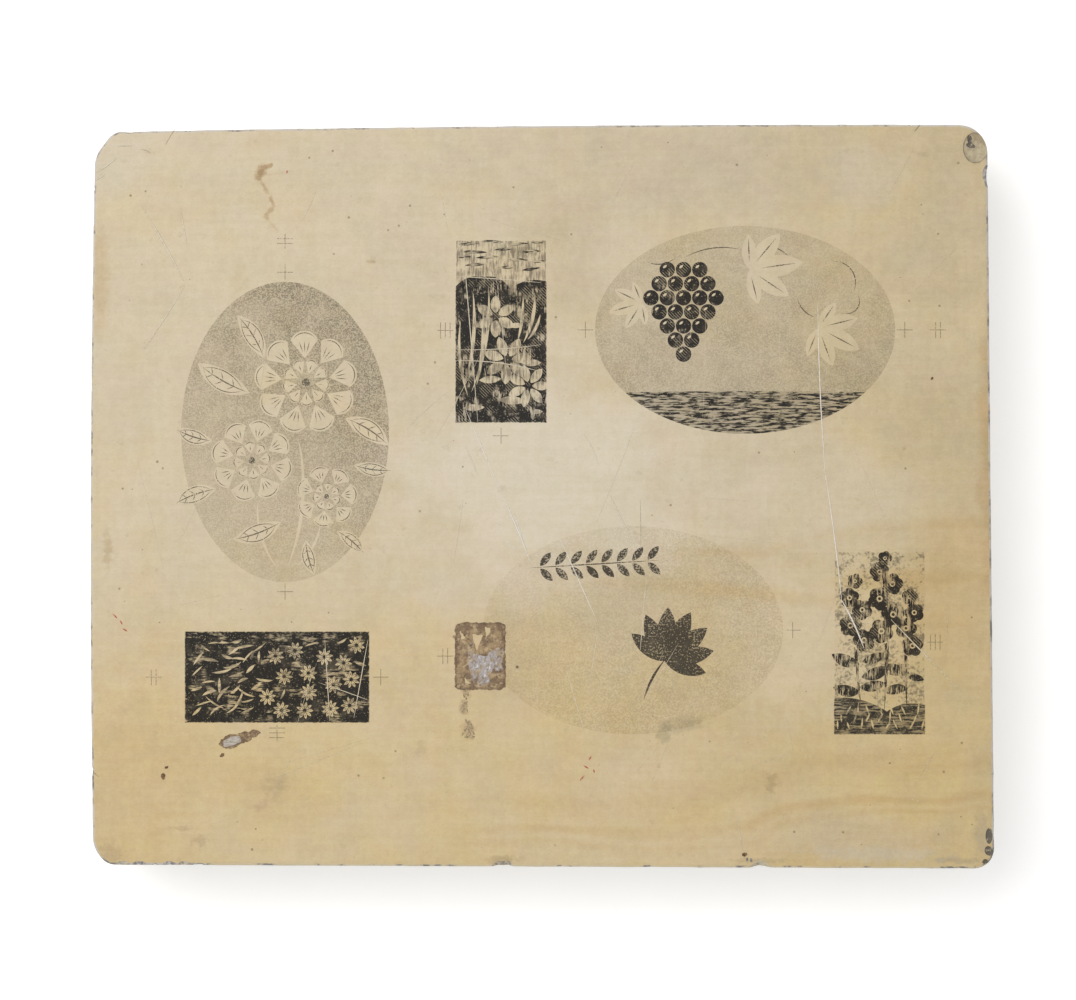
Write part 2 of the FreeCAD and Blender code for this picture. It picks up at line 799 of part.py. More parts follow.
def left_panel():
    size = print_sizes["left_panel"]
    flowers = daisy_places(size)
    reserve = grass_blades(size, flowers)
    eyes = []
    for k, place in enumerate(flowers):
        reserve += single_flower(place, daisy_radius, daisy_petal_count, k * daisy_turn_angle)
        for j in range(daisy_petal_count):
            heading = k * daisy_turn_angle + j * 360 / daisy_petal_count
            root = place + polar(daisy_radius * flower_ring_share, heading)
            length, width = daisy_radius * eye_stroke_share, daisy_radius * daisy_eye_share
            eyes.append(leaf(root, heading, length, width))
    film("left_panel_dark_hedge", cut([rectangle(*size)], reserve), print_middle("left_panel"))
    film("left_panel_petal_strokes", eyes, print_middle("left_panel"))


# Right panel: tall hollyhocks over a strip of dark ground

ground_outline_shares = [(-0.5, -0.300), (0.08, -0.376), (0.5, -0.340)]
hollyhock_stem_shares = [
    (-0.20, -0.36, -0.27, 0.320, 0.018, 0.02),
    (0.05, -0.38, 0.06, 0.470, 0.022, -0.015),
    (0.30, -0.36, 0.33, 0.240, 0.018, 0.02),
]
blossom_shares = [
    (-0.27, 0.330, 0.085, 0), (-0.33, 0.240, 0.110, 20), (-0.19, 0.175, 0.115, 50), (-0.32, 0.090, 0.125, 10),
    (-0.17, 0.010, 0.125, 35), (0.06, 0.455, 0.080, 0), (0.00, 0.380, 0.110, 30), (0.14, 0.315, 0.120, 5),
    (0.00, 0.235, 0.130, 60), (0.15, 0.150, 0.135, 22), (0.02, 0.060, 0.135, 48), (0.33, 0.245, 0.090, 12),
    (0.38, 0.160, 0.110, 40), (0.29, 0.075, 0.120, 70), (0.36, -0.020, 0.120, 15),
]
hollyhock_leaf_shares = [
    (-0.22, -0.120, 160, 0.16, 0.42, 0.05), (-0.20, -0.190, 20, 0.16, 0.42, -0.05),
    (-0.21, -0.270, 170, 0.15, 0.42, 0.05), (0.06, -0.060, 200, 0.13, 0.42, 0.05),
    (0.06, -0.120, -20, 0.14, 0.42, -0.05), (0.06, -0.220, 190, 0.14, 0.42, 0.05),
    (0.31, -0.120, 205, 0.12, 0.42, 0.05), (0.31, -0.190, -10, 0.09, 0.42, 0.05),
    (0.31, -0.250, 190, 0.13, 0.42, -0.05),
]
blossom_petal_count = 5
blossom_petal_share = 0.50
blossom_light_shares = (0.26, 0.13)
tuft_count = 22
tuft_length_share = 0.060
tuft_width_share = 0.010
tuft_span_share = 0.92
tuft_foot_shares = (0.028, 0.065, 0.105)
tuft_angles = (55, 120)
tuft_reach_shares = (0.70, 1.20)
tuft_seed = 3


def blossom(centre, radius, turn):
    """Round blossom of overlapping petals, with a light ring left round its eye."""
    reach = radius * blossom_petal_share
    step = 360 / blossom_petal_count
    petals = [disc(centre + polar(reach, turn + k * step), reach) for k in range(blossom_petal_count)]
    outer_share, inner_share = blossom_light_shares
    ring = disc(centre, radius * outer_share).cut(disc(centre, radius * inner_share))
    return cut(merged(petals + [disc(centre, reach)]), [ring])


def ground_strip(size):
    """Dark ground along the foot of the right panel, with a rolling top."""
    left, middle, right = [spot(size, *shares) for shares in ground_outline_shares]
    foot_left, foot_right = spot(size, -0.5, -0.5), spot(size, 0.5, -0.5)
    swell = size[0] * bank_swell_share
    return face_of([
        bow(right, middle, -swell),
        bow(middle, left, -swell),
        line(left, foot_left),
        line(foot_left, foot_right),
        line(foot_right, right),
    ])


def grass_tufts(size):
    draw = random.Random(tuft_seed)
    found = []
    for k in range(tuft_count):
        u_share = tuft_span_share * (k / (tuft_count - 1) - 0.5)
        foot = spot(size, u_share, tuft_foot_shares[k % len(tuft_foot_shares)] - 0.5)
        reach = size[1] * tuft_length_share * draw.uniform(*tuft_reach_shares)
        found.append(leaf(foot, draw.uniform(*tuft_angles), reach, size[1] * tuft_width_share))
    return merged(found)


def right_panel():
    size = print_sizes["right_panel"]
    place = print_middle("right_panel")
    ground = ground_strip(size)
    blossoms, rings = [], []
    for u_share, v_share, radius_share, turn in blossom_shares:
        centre, radius = spot(size, u_share, v_share), size[0] * radius_share
        blossoms += blossom(centre, radius, turn)
        rings.append(disc(centre, radius + ink_gap))
    greens = blades_in(size, hollyhock_stem_shares) + leaves_in(size, hollyhock_leaf_shares, one_leaf)
    film("right_panel_dark_ground", cut([ground], grass_tufts(size)), place)
    film("right_panel_blossoms", merged(blossoms), place)
    film("right_panel_stems_and_leaves", cut(merged(greens), rings + [ground]), place)


# Register marks on the middle lines of the prints

side_way_shares = {"left": (-1, 0), "right": (1, 0), "above": (0, 1), "below": (0, -1)}
# Room that the gaps beside the marks are measured in, as a share of the bare room in the front row.
mark_room_share = 0.1024
mark_room = bare_room(print_rows[1], 0) * mark_room_share
mark_pitch_share = 0.30
# Print, side, gap between them as a share of the mark room, and the number of close parallel lines.
mark_shares = [
    ("left_oval", "above", 0.973, 2),
    ("left_oval", "above", 0.050, 1),
    ("left_oval", "below", 0.050, 1),
    ("top_panel", "left", 0.062, 3),
    ("top_panel", "below", 0.149, 1),
    ("right_oval", "left", 0.050, 1),
    ("right_oval", "right", 0.050, 1),
    ("right_oval", "right", 1.035, 2),
    ("middle_oval", "right", 0.050, 1),
    ("left_panel", "right", 0.100, 1),
    ("left_panel", "below", 0.062, 3),
    ("left_panel", "left", 0.682, 2),
    ("right_panel", "right", 0.062, 3),
    ("gum_patch", "left", 0.050, 2),
]


def gum_patch_place():
    """Middle of the gum patch, which laps over the left tip of the middle oval."""
    off = oval_length * gum_patch_place_share
    return on_face((0, gum_patch_level_share)) + Vector(print_middle("middle_oval").x - off, 0, 0)


def register_mark(lines, side):
    """Close parallel lines along the print's edge, and one line through them."""
    u, v = side_way_shares[side]
    bars = []
    for k in range(lines):
        off = (k - (lines - 1) / 2) * mark_length * mark_pitch_share
        if u:
            bars.append(rectangle(mark_line_width, mark_length, Vector(off, 0, 0)))
        else:
            bars.append(rectangle(mark_length, mark_line_width, Vector(0, off, 0)))
    bars.append(rectangle(mark_length, mark_line_width) if u else rectangle(mark_line_width, mark_length))
    return merged(bars)


def mark_place(near, side, gap_share):
    """Middle of a mark, out from the middle of one side of what it stands beside."""
    if near == "gum_patch":
        middle, size = gum_patch_place(), (gum_patch_width, gum_patch_length)
    else:
        middle, size = print_middle(near), print_sizes[near]
    u, v = side_way_shares[side]
    off = mark_room * gap_share + mark_length / 2
    return middle + Vector(u * (size[0] / 2 + off), v * (size[1] / 2 + off), 0)


def register_marks():
    faces = []
    for near, side, gap_share, lines in mark_shares:
        for face in register_mark(lines, side):
            face.translate(mark_place(near, side, gap_share) - on_face((0, 0)))
            faces.append(face)
    film("register_marks", faces)


# Old gum

gum_patch_level_share = -0.2140
gum_patch_place_share = 0.5097
bloom_outline_shares = [
    (-0.28, 0.28),
    (-0.18, 0.22),
    (-0.12, 0.04),
    (0.08, -0.01),
    (0.24, 0.07),
    (0.38, 0.15),
    (0.46, 0.10),
    (0.46, -0.22),
    (0.24, -0.21),
    (0.16, -0.31),
    (0.20, -0.46),
    (-0.12, -0.46),
    (-0.20, -0.31),
    (-0.24, -0.07),
]
# Places under the patch, from its middle as shares of its width and length, and each drip's size share.
drip_shares = [
    (-0.27, -0.62, 1.00, -92),
    (-0.30, -0.78, 0.72, -84),
    (-0.26, -0.98, 0.90, -75),
    (-0.19, -1.13, 0.66, -60),
]
smear_place_share = -0.2057
smear_turn_angle = 16
smear_lobe_shares = [(-0.50, 0.00, 0.62, 1.00), (-0.14, 0.04, 0.52, 0.80), (0.16, 0.10, 0.38, 0.52)]
scrap_outline_shares = [
    (-0.50, -0.36),
    (-0.10, -0.50),
    (0.48, -0.30),
    (0.50, 0.26),
    (0.08, 0.50),
    (-0.42, 0.30),
]
scrap_offset_share = -0.18


def gum_patch():
    """Rounded brown patch with crystals bloomed on it, and the drips that ran from it."""
    size = (gum_patch_width, gum_patch_length)
    place = gum_patch_place()
    patch = rectangle(*size).extrude(UP * gum_thickness)
    uprights = [edge for edge in patch.Edges if abs(edge.tangentAt(edge.FirstParameter).z) > 0.5]
    patch = patch.makeFillet(gum_patch_corner_radius, uprights)
    patch.translate(place)
    save("gum_patch", patch.Solids)
    crystals = polygon([spot(size, *shares) for shares in bloom_outline_shares])
    film("gum_crystal_bloom", [crystals], place, bloom_thickness, gum_thickness)
    drips = []
    for u_share, v_share, size_share, heading in drip_shares:
        foot = spot(size, u_share, v_share)
        length = drip_length * size_share
        drips.append(leaf(foot - polar(length / 2, heading), heading, length, drip_width * size_share))
    film("gum_drips", merged(drips), place, gum_thickness)


def smear_place():
    """Middle of the smear, which lies in front of the left panel."""
    off = Vector(panel_length * smear_place_share, -panel_breadth / 2 - smear_drop, 0)
    return print_middle("left_panel") + off


def gum_smear():
    """Smear of gum with a scrap of paper stuck on it."""
    place = smear_place()
    lobes = []
    for u_share, v_share, length_share, width_share in smear_lobe_shares:
        foot = spot((smear_length, smear_width), u_share, v_share)
        lobes.append(leaf(foot, 0, smear_length * length_share, smear_width * width_share))
    smear = merged(lobes)
    scrap = polygon([spot((scrap_length, scrap_width), *shares) for shares in scrap_outline_shares])
    scrap.translate(Vector(smear_length * scrap_offset_share, 0, 0))
    for face in smear + [scrap]:
        face.rotate(ORIGIN, UP, smear_turn_angle)
    film("gum_smear", smear, place, smear_thickness)
    film("paper_scrap", [scrap.common(smear[0])], place, scrap_thickness, smear_thickness)


# Specks, grit and crayon

speck_count = 70
speck_draw_count = 400
speck_seed = 29
speck_size_shares = (0.45, 1.30)
speck_room_share = 0.95
# Place, length as a share of the grit's diameter, and heading.
grit_shares = [
    (-0.4183, -0.3747, 1.20, 80),
    (-0.4145, -0.3630, 0.70, 20),
    (0.2230, -0.4795, 1.00, 10),
    (0.4300, 0.1580, 0.60, 60),
]
grit_width_share = 0.62
# The crumb in front of the smear: its place from the smear's middle as shares of the smear, and its size.
crumb_shares = (-0.405, -1.190, 0.90, 35)
# Place, heading, and length as a share of the crayon length.
crayon_shares = [
    (-0.4713, -0.1604, 135, 1.00),
    (-0.4645, -0.1690, 120, 0.80),
    (-0.4603, -0.1790, 150, 0.90),
    (0.0527, -0.3507, 60, 0.80),
    (0.0484, -0.3625, 150, 1.00),
    (0.0439, -0.3774, 50, 1.20),
    (0.0570, -0.3680, 100, 0.60),
    (-0.2816, 0.4344, 80, 0.60),
]


def grit_crumbs():
    """Middle, size share and heading of each crumb of grit."""
    found = [(on_face(row[:2]), row[2], row[3]) for row in grit_shares]
    u_share, v_share, size_share, heading = crumb_shares
    off = spot((smear_length, smear_width), u_share, v_share)
    return found + [(smear_place() + off, size_share, heading)]


def clear_of_the_rest(place):
    """Whether a speck at a place lies outside every printed area and stands off the marks and the gum."""
    for name, size in print_sizes.items():
        off = place - print_middle(name)
        if abs(off.x) < size[0] / 2 + speck_diameter and abs(off.y) < size[1] / 2 + speck_diameter:
            return False
    neighbours = [(mark_place(*row[:3]), mark_length) for row in mark_shares]
    neighbours.append((gum_patch_place(), gum_patch_width + gum_patch_length))
    neighbours.append((smear_place(), smear_length))
    neighbours += [(middle, grit_diameter + speck_diameter) for middle, _, _ in grit_crumbs()]
    neighbours += [(on_face(row[:2]), crayon_length + speck_diameter) for row in crayon_shares]
    return all((place - other).Length > reach for other, reach in neighbours)


def ink_specks():
    draw = random.Random(speck_seed)
    places, found = [], []
    half = speck_room_share / 2
    for _ in range(speck_draw_count):
        place = on_face((draw.uniform(-half, half), draw.uniform(-half, half)))
        radius = speck_diameter / 2 * draw.uniform(*speck_size_shares)
        apart = all((place - other).Length > 2 * speck_diameter for other in places)
        if len(found) < speck_count and apart and clear_of_the_rest(place):
            places.append(place)
            found.append(disc(place - on_face((0, 0)), radius))
    film("ink_specks", found)


def grit():
    faces = []
    for middle, size_share, heading in grit_crumbs():
        length = grit_diameter * size_share
        base = middle - on_face((0, 0)) - polar(length / 2, heading)
        faces.append(leaf(base, heading, length, length * grit_width_share))
    film("brown_grit", faces, None, grit_thickness)


def red_crayon():
    faces = []
    for u_share, v_share, heading, length_share in crayon_shares:
        length = crayon_length * length_share
        middle = on_face((u_share, v_share)) - on_face((0, 0))
        faces.append(leaf(middle - polar(length / 2, heading), heading, length, crayon_width))
    film("red_crayon_flecks", faces, None, crayon_thickness)


os.makedirs("parts", exist_ok=True)
for build in (
    stone_slab,
    left_oval,
    right_oval,
    middle_oval,
    top_panel,
    left_panel,
    right_panel,
    register_marks,
    gum_patch,
    gum_smear,
    ink_specks,
    grit,
    red_crayon,
):
    build()
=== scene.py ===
"""Looks of a lithographic stone: ground limestone, worn ink prints, old gum, specks and scratches."""

import math
import random

import bmesh
import bpy
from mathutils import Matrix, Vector, noise


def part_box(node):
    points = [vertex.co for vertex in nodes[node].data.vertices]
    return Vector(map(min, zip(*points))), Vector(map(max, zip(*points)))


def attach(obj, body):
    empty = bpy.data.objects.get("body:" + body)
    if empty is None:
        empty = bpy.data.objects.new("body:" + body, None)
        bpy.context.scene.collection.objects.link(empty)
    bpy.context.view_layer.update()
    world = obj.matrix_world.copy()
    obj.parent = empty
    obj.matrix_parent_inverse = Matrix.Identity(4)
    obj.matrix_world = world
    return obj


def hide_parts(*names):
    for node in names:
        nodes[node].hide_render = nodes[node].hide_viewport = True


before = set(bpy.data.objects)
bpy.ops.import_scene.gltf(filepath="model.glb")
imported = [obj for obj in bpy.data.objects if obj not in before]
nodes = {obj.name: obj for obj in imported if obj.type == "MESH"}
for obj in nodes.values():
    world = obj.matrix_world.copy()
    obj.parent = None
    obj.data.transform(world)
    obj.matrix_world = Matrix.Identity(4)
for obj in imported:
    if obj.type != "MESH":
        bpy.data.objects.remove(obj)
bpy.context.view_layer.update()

MM = 0.001
# Distance below which two places, or two lengths, count as one
same_place = 0.001 * MM
low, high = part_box("stone_slab")
slab_width = high.x - low.x
slab_depth = high.y - low.y
top_level = high.z


def on_top(u, v, level=0.0):
    """Place on the ground face, from shares of the slab's width from the left and depth from the front."""
    return Vector((low.x + u * slab_width, low.y + v * slab_depth, top_level + level))


# Picking and shaping in edit mode

def only(obj):
    """Makes obj the one selected and active object."""
    bpy.ops.object.select_all(action="DESELECT")
    obj.select_set(True)
    bpy.context.view_layer.objects.active = obj


def start_edit(obj):
    only(obj)
    bpy.ops.object.mode_set(mode="EDIT")


def end_edit():
    bpy.ops.object.mode_set(mode="OBJECT")


def pick(obj, kind, test):
    """In edit mode, selects just the vertices, edges or faces that pass a test, and says how many."""
    bpy.ops.mesh.select_mode(type=kind)
    bpy.ops.mesh.select_all(action="DESELECT")
    shape = bmesh.from_edit_mesh(obj.data)
    parts = {"VERT": shape.verts, "EDGE": shape.edges, "FACE": shape.faces}[kind]
    found = [item for item in parts if test(item)]
    for item in found:
        item.select_set(True)
    shape.select_flush_mode()
    bmesh.update_edit_mesh(obj.data)
    return len(found)


def join(pieces):
    """Joins pieces into the first one."""
    bpy.ops.object.select_all(action="DESELECT")
    for piece in pieces:
        piece.select_set(True)
    bpy.context.view_layer.objects.active = pieces[0]
    bpy.ops.object.join()
    return pieces[0]


def settle(obj, name, material, replaced=()):
    """Names a finished piece, puts its place into its mesh and lets it ride on the stone."""
    only(obj)
    bpy.ops.object.transform_apply(location=True, rotation=True, scale=True)
    obj.name = name
    obj.data.name = name
    if material:
        obj.data.materials.clear()
        obj.data.materials.append(material)
    if replaced:
        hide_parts(*replaced)
    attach(obj, "root")
    return obj


def modifier(obj, kind, **settings):
    """Adds a modifier with its settings and applies it."""
    only(obj)
    made = obj.modifiers.new(kind.lower(), kind)
    for name, value in settings.items():
        setattr(made, name, value)
    bpy.ops.object.modifier_apply(modifier=made.name)


def lumps(name, kind, size, **settings):
    """Texture for a Displace modifier, with its lumps at a real size."""
    made = bpy.data.textures.new(name, kind)
    made.noise_scale = size
    for key, value in settings.items():
        setattr(made, key, value)
    return made


# Colours and nodes

def linear(hex_colour):
    """Linear RGBA of an sRGB hex value."""
    parts = [int(hex_colour[k:k + 2], 16) / 255 for k in (1, 3, 5)]
    return (*[c / 12.92 if c <= 0.04045 else ((c + 0.055) / 1.055) ** 2.4 for c in parts], 1.0)


# Settings that a kind of node has unless others are given
usual = {"Mix": {"data_type": "RGBA"}, "MapRange": {"interpolation_type": "SMOOTHSTEP"}}


def add(tree, kind, *values, named=(), **settings):
    """Adds a node with its settings, and sets or links its inputs, in their order or by name."""
    made = tree.nodes.new("ShaderNode" + kind)
    for name, value in {**usual.get(kind, {}), **settings}.items():
        setattr(made, name, value)
    sockets = [socket for socket in made.inputs if socket.enabled]
    filled = list(zip(sockets, values)) + [(made.inputs[name], value) for name, value in dict(named).items()]
    for socket, value in filled:
        if isinstance(value, bpy.types.Node):
            value = next(output for output in value.outputs if output.enabled)
        if isinstance(value, bpy.types.NodeSocket):
            tree.links.new(value, socket)
        else:
            socket.default_value = value
    return made


def place_in_mm(tree):
    """The place on the stone in millimetres, so that a pattern's scale is one over its real size."""
    here = add(tree, "TexCoord").outputs["Object"]
    return add(tree, "VectorMath", here, (1 / MM, 1 / MM, 1 / MM), operation="MULTIPLY")


# Ground limestone

# Each row has a place in shares, half width and half depth in mm, turn in degrees, colour and strength.
# Broad areas that were washed, greased or handled
washes = [
    (0.500, 0.520, 84.0, 56.0, 0, "#E6DBC8", 0.62),
    (0.780, 0.300, 46.0, 46.0, 0, "#E0D0B4", 0.45),
    (0.050, 0.120, 44.0, 60.0, 0, "#CDAF7A", 0.50),
    (0.960, 0.370, 30.0, 50.0, 0, "#C7A76E", 0.50),
    (0.690, 0.375, 70.0, 5.0, -5, "#C9A86C", 0.40),
    (0.900, 0.390, 40.0, 6.0, 3, "#C3A266", 0.45),
    (0.660, 0.940, 120.0, 26.0, -3, "#C5B59A", 0.60),
    (0.530, 0.830, 26.0, 34.0, 0, "#C4B295", 0.50),
    (0.800, 0.500, 62.0, 30.0, 0, "#D9CBB3", 0.50),
    (0.430, 0.390, 34.0, 20.0, 0, "#DACBB5", 0.50),
    (0.860, 0.930, 32.0, 20.0, 0, "#CBBFA9", 0.50),
    (0.850, 0.045, 44.0, 14.0, -2, "#C9B799", 0.50),
    (0.660, 0.030, 60.0, 12.0, 2, "#D8C29E", 0.50),
    (0.600, 0.120, 44.0, 16.0, 0, "#DAC3A0", 0.45),
    (0.608, 0.348, 44.0, 22.0, 8, "#C8B797", 0.35),
    (0.365, 0.415, 30.0, 14.0, 0, "#D9C9AB", 0.40),
    (0.177, 0.107, 30.0, 18.0, 0, "#CCAF78", 0.40),
    (0.470, 0.281, 24.0, 28.0, 0, "#C9B288", 0.35),
    (0.030, 0.945, 24.0, 15.0, 35, "#D8D0BE", 0.40),
    (0.011, 0.800, 6.0, 28.0, 0, "#BCA274", 0.50),
    (0.994, 0.560, 6.0, 80.0, 0, "#B5945A", 0.50),
]
# Smudges, a brown dribble from the back edge, and grime at the corners and round the chips
stains = [
    (0.656, 0.194, 13.0, 4.2, 14, "#AFA07A", 0.60),
    (0.634, 0.181, 4.5, 5.5, 0, "#A69872", 0.60),
    (0.753, 0.117, 3.2, 5.5, 0, "#A8915F", 0.65),
    (0.784, 0.415, 10.0, 6.0, 0, "#C4AB7D", 0.35),
    (0.3105, 0.8148, 3.0, 1.0, 0, "#AD9A74", 0.60),
    (0.365, 0.165, 3.0, 5.0, 0, "#BDA67B", 0.50),
    (0.4160, 0.2395, 2.6, 4.0, 0, "#A8916A", 0.85),
    (0.4133, 0.2193, 2.4, 4.4, 0, "#9C8660", 0.85),
    (0.4177, 0.1871, 4.2, 5.4, 0, "#AA946D", 0.85),
    (0.4724, 0.2716, 0.8, 0.8, 0, "#6B5238", 1.00),
    (0.920, 0.958, 3.0, 1.6, 0, "#B5A57F", 0.50),
    (0.1902, 0.9368, 2.6, 3.6, -30, "#A38357", 1.00),
    (0.1950, 0.9420, 3.4, 1.3, 20, "#A5855A", 0.85),
    (0.1869, 0.9274, 2.0, 2.2, 0, "#A88A5E", 0.90),
    (0.1933, 0.9134, 1.2, 5.4, 32, "#B0946B", 0.75),
    (0.2015, 0.8953, 1.3, 3.6, 24, "#AC8F64", 0.80),
    (0.1996, 0.8839, 1.2, 3.4, -49, "#B0946B", 0.70),
    (0.1959, 0.8745, 1.2, 2.6, 12, "#B0946B", 0.60),
    (0.2040, 0.8611, 1.0, 5.0, 45, "#B79D74", 0.40),
    (0.2090, 0.9330, 9.0, 0.7, 10, "#C3AC86", 0.25),
    (0.2200, 0.7400, 8.0, 8.0, 0, "#BDA983", 0.35),
    (0.1650, 0.7900, 6.0, 9.0, 0, "#C0AC86", 0.30),
    (0.985, 0.050, 4.0, 13.0, 0, "#A59A7E", 0.50),
    (0.960, 0.012, 16.0, 2.0, -3, "#A2957A", 0.55),
    (0.870, 0.020, 36.0, 4.5, -2, "#C9BEA6", 0.55),
    (0.020, 0.430, 3.0, 12.0, 0, "#AB9468", 0.50),
    (0.205, 0.115, 8.0, 7.0, 20, "#B89D78", 0.45),
    (0.190, 0.085, 5.0, 3.0, 30, "#A88D69", 0.40),
    (0.120, 0.040, 5.0, 3.0, 0, "#A08B66", 0.45),
    (0.978, 0.968, 7.6, 8.6, 0, "#B0A387", 0.45),
    (0.024, 0.022, 7.0, 5.0, -40, "#A98F69", 0.50),
    (0.740, 0.012, 15.0, 1.6, 0, "#AE9A6F", 0.50),
    (0.456, 0.014, 9.0, 2.4, 5, "#A59268", 0.60),
    (0.100, 0.055, 7.0, 1.4, -4, "#A8946C", 0.45),
]
stain_height = 40.0
grime_middle_share = 0.075
# Distance in front of the middle, width and strength of each tide line, in mm.
tide_lines = ((-161.0, 4.5, 0.50), (-168.0, 3.0, 0.35), (-143.0, 10.0, 0.32), (-33.0, 5.0, 0.30))
tide_slope = -0.085
# Pitch and radius of specks in mm, share of the cells that hold none, colour and strength.
pore_rows = (
    (9.0, 0.30, 0.86, "#7E6B4C", 0.55),
    (4.0, 0.20, 0.80, "#A08C66", 0.50),
    (3.0, 0.22, 0.84, "#E6DBC5", 0.55),
    (30.0, 1.10, 0.70, "#A8935F", 0.40),
)
# Size in mm, dull colour and clear colour of each mottle. It goes on as an overlay, which middle grey,
# #BCBCBC, would leave unchanged, so each pair lies on both sides of that grey.
mottles = (
    (34, "#B9BABA", "#C1BEBC"),
    (16, "#BBBCBA", "#BFBCBD"),
    (11, "#BABAB9", "#BFBEBD"),
    (3.5, "#B8B9B9", "#C0BFBE"),
)
# Size in mm, how far it is drawn out and strength of each grain. The finest, left by the grinding sand, is
# drawn coarser than life, at 0.9 mm, so that it shows.
grains = (
    (2.4, (16.0, 1.0, 1.0), 0.055),
    (2.6, (1.0, 14.0, 1.0), 0.035),
    (0.9, (1.4, 1.0, 1.0), 0.08),
)


def limestone_colours(tree, place):
    """Broad colours of the ground face: cream at the back and left, ochre to the front and right, with
    painted shade greying the right.
    """
    at = add(tree, "SeparateXYZ", place)
    x, y = at.outputs["X"], at.outputs["Y"]
    drift = add(tree, "TexNoise", place, 1 / 75, 3.0, 0.6)
    wander = add(tree, "Math", drift, 90.0, -45.0, operation="MULTIPLY_ADD")
    front = add(tree, "MapRange", add(tree, "Math", y, wander, operation="ADD"), 10.0, -120.0)
    right = add(tree, "MapRange", add(tree, "Math", x, wander, operation="ADD"), 20.0, 210.0)
    warmth = add(tree, "MapRange", add(tree, "TexNoise", place, 1 / 40, 3.0, 0.6), 0.35, 0.70, -0.12, 0.22)
    warmth = add(tree, "Math", front, 0.62, warmth, operation="MULTIPLY_ADD")
    warmth = add(tree, "Math", right, 0.45, warmth, operation="MULTIPLY_ADD")
    colour = add(tree, "Mix", warmth, linear("#D6C6A9"), linear("#D6BA80"))
    # A greyer, darker cast towards the right, in patches: painted falloff of the light, which comes from the
    # left.
    painted_falloff = add(tree, "MapRange", add(tree, "TexNoise", place, 1 / 55, 2.0, 0.6), 0.40, 0.62, 0.10, 0.45)
    painted_falloff = add(tree, "Math", right, painted_falloff, operation="MULTIPLY")
    colour = add(tree, "Mix", painted_falloff, colour, linear("#B8A988"))
    # Long ochre tide lines near the front edge, rising to the right.
    long_place = add(tree, "VectorMath", place, (0.5, 1.0, 1.0), operation="MULTIPLY")
    swing = add(tree, "MapRange", add(tree, "TexNoise", long_place, 1 / 60, 2.0, 0.6), 0.3, 0.7, -6.0, 6.0)
    tilted = add(tree, "Math", x, tide_slope, y, operation="MULTIPLY_ADD")
    tilted = add(tree, "Math", tilted, swing, operation="ADD")
    to_the_right = add(tree, "MapRange", x, -90.0, 60.0)
    for level, width, strength in tide_lines:
        off = add(tree, "Math", add(tree, "Math", tilted, level, operation="SUBTRACT"), operation="ABSOLUTE")
        line = add(tree, "MapRange", off, width, 0.0, 0.0, strength)
        colour = add(tree, "Mix", add(tree, "Math", line, to_the_right, operation="MULTIPLY"), colour,
                     linear("#C2A063"))
    return colour


def soaked(tree, place, colour, rows, rag_size, rag_depth):
    """Colours that soaked into the ground face round some places, each with an uneven rim."""
    rag = add(tree, "TexNoise", place, 1 / rag_size, 4.0, 0.6)
    rag = add(tree, "Math", rag, 2 * rag_depth, -rag_depth, operation="MULTIPLY_ADD")
    for u, v, half_width, half_depth, turn, stain, strength in rows:
        spin = (0, 0, math.radians(turn))
        size = (half_width, half_depth, stain_height)
        local = add(tree, "Mapping", place, on_top(u, v) / MM, spin, size, vector_type="TEXTURE")
        off = add(tree, "VectorMath", local, operation="LENGTH")
        reach = add(tree, "Math", off, rag, operation="ADD")
        cover = add(tree, "MapRange", reach, 1.15, 0.35, 0.0, strength)
        colour = add(tree, "Mix", cover, colour, linear(stain))
    return colour


def limestone_grain(tree, place, colour):
    """Mottle, the faint level and upright streaks of wiping and grinding, and specks in the pores."""
    for size, dull, clear in mottles:
        mottle = add(tree, "MapRange", add(tree, "TexNoise", place, 1 / size, 4.0, 0.6), 0.38, 0.62)
        mottle = add(tree, "Mix", mottle, linear(dull), linear(clear))
        colour = add(tree, "Mix", 1.0, colour, mottle, blend_type="OVERLAY")
    smudge = add(tree, "MapRange", add(tree, "TexNoise", place, 1 / 7, 4.0, 0.65), 0.60, 0.72, 0.0, 0.25)
    colour = add(tree, "Mix", smudge, colour, linear("#A88F6E"))
    for size, stretch, strength in grains:
        drawn = add(tree, "VectorMath", place, stretch, operation="DIVIDE")
        grain = add(tree, "MapRange", add(tree, "TexNoise", drawn, 1 / size, 3.0, 0.6), 0.30, 0.70)
        grain = add(tree, "Mix", grain, linear("#B29F78"), linear("#EDE3CE"))
        colour = add(tree, "Mix", strength, colour, grain)
    bend = add(tree, "TexNoise", place, 1 / 1.2, 2.0, 0.6).outputs["Color"]
    bent = add(tree, "VectorMath", place, bend, operation="ADD")
    for pitch, radius, bare, dirt, strength in pore_rows:
        cells = add(tree, "TexVoronoi", bent, 1 / pitch)
        chance = add(tree, "SeparateColor", cells.outputs["Color"])
        kept = add(tree, "MapRange", chance, bare, bare + 0.04, 0.0, strength)
        dot = add(tree, "MapRange", cells, (radius + 0.20) / pitch, radius * 0.3 / pitch)
        colour = add(tree, "Mix", add(tree, "Math", kept, dot, operation="MULTIPLY"), colour, linear(dirt))
    return colour


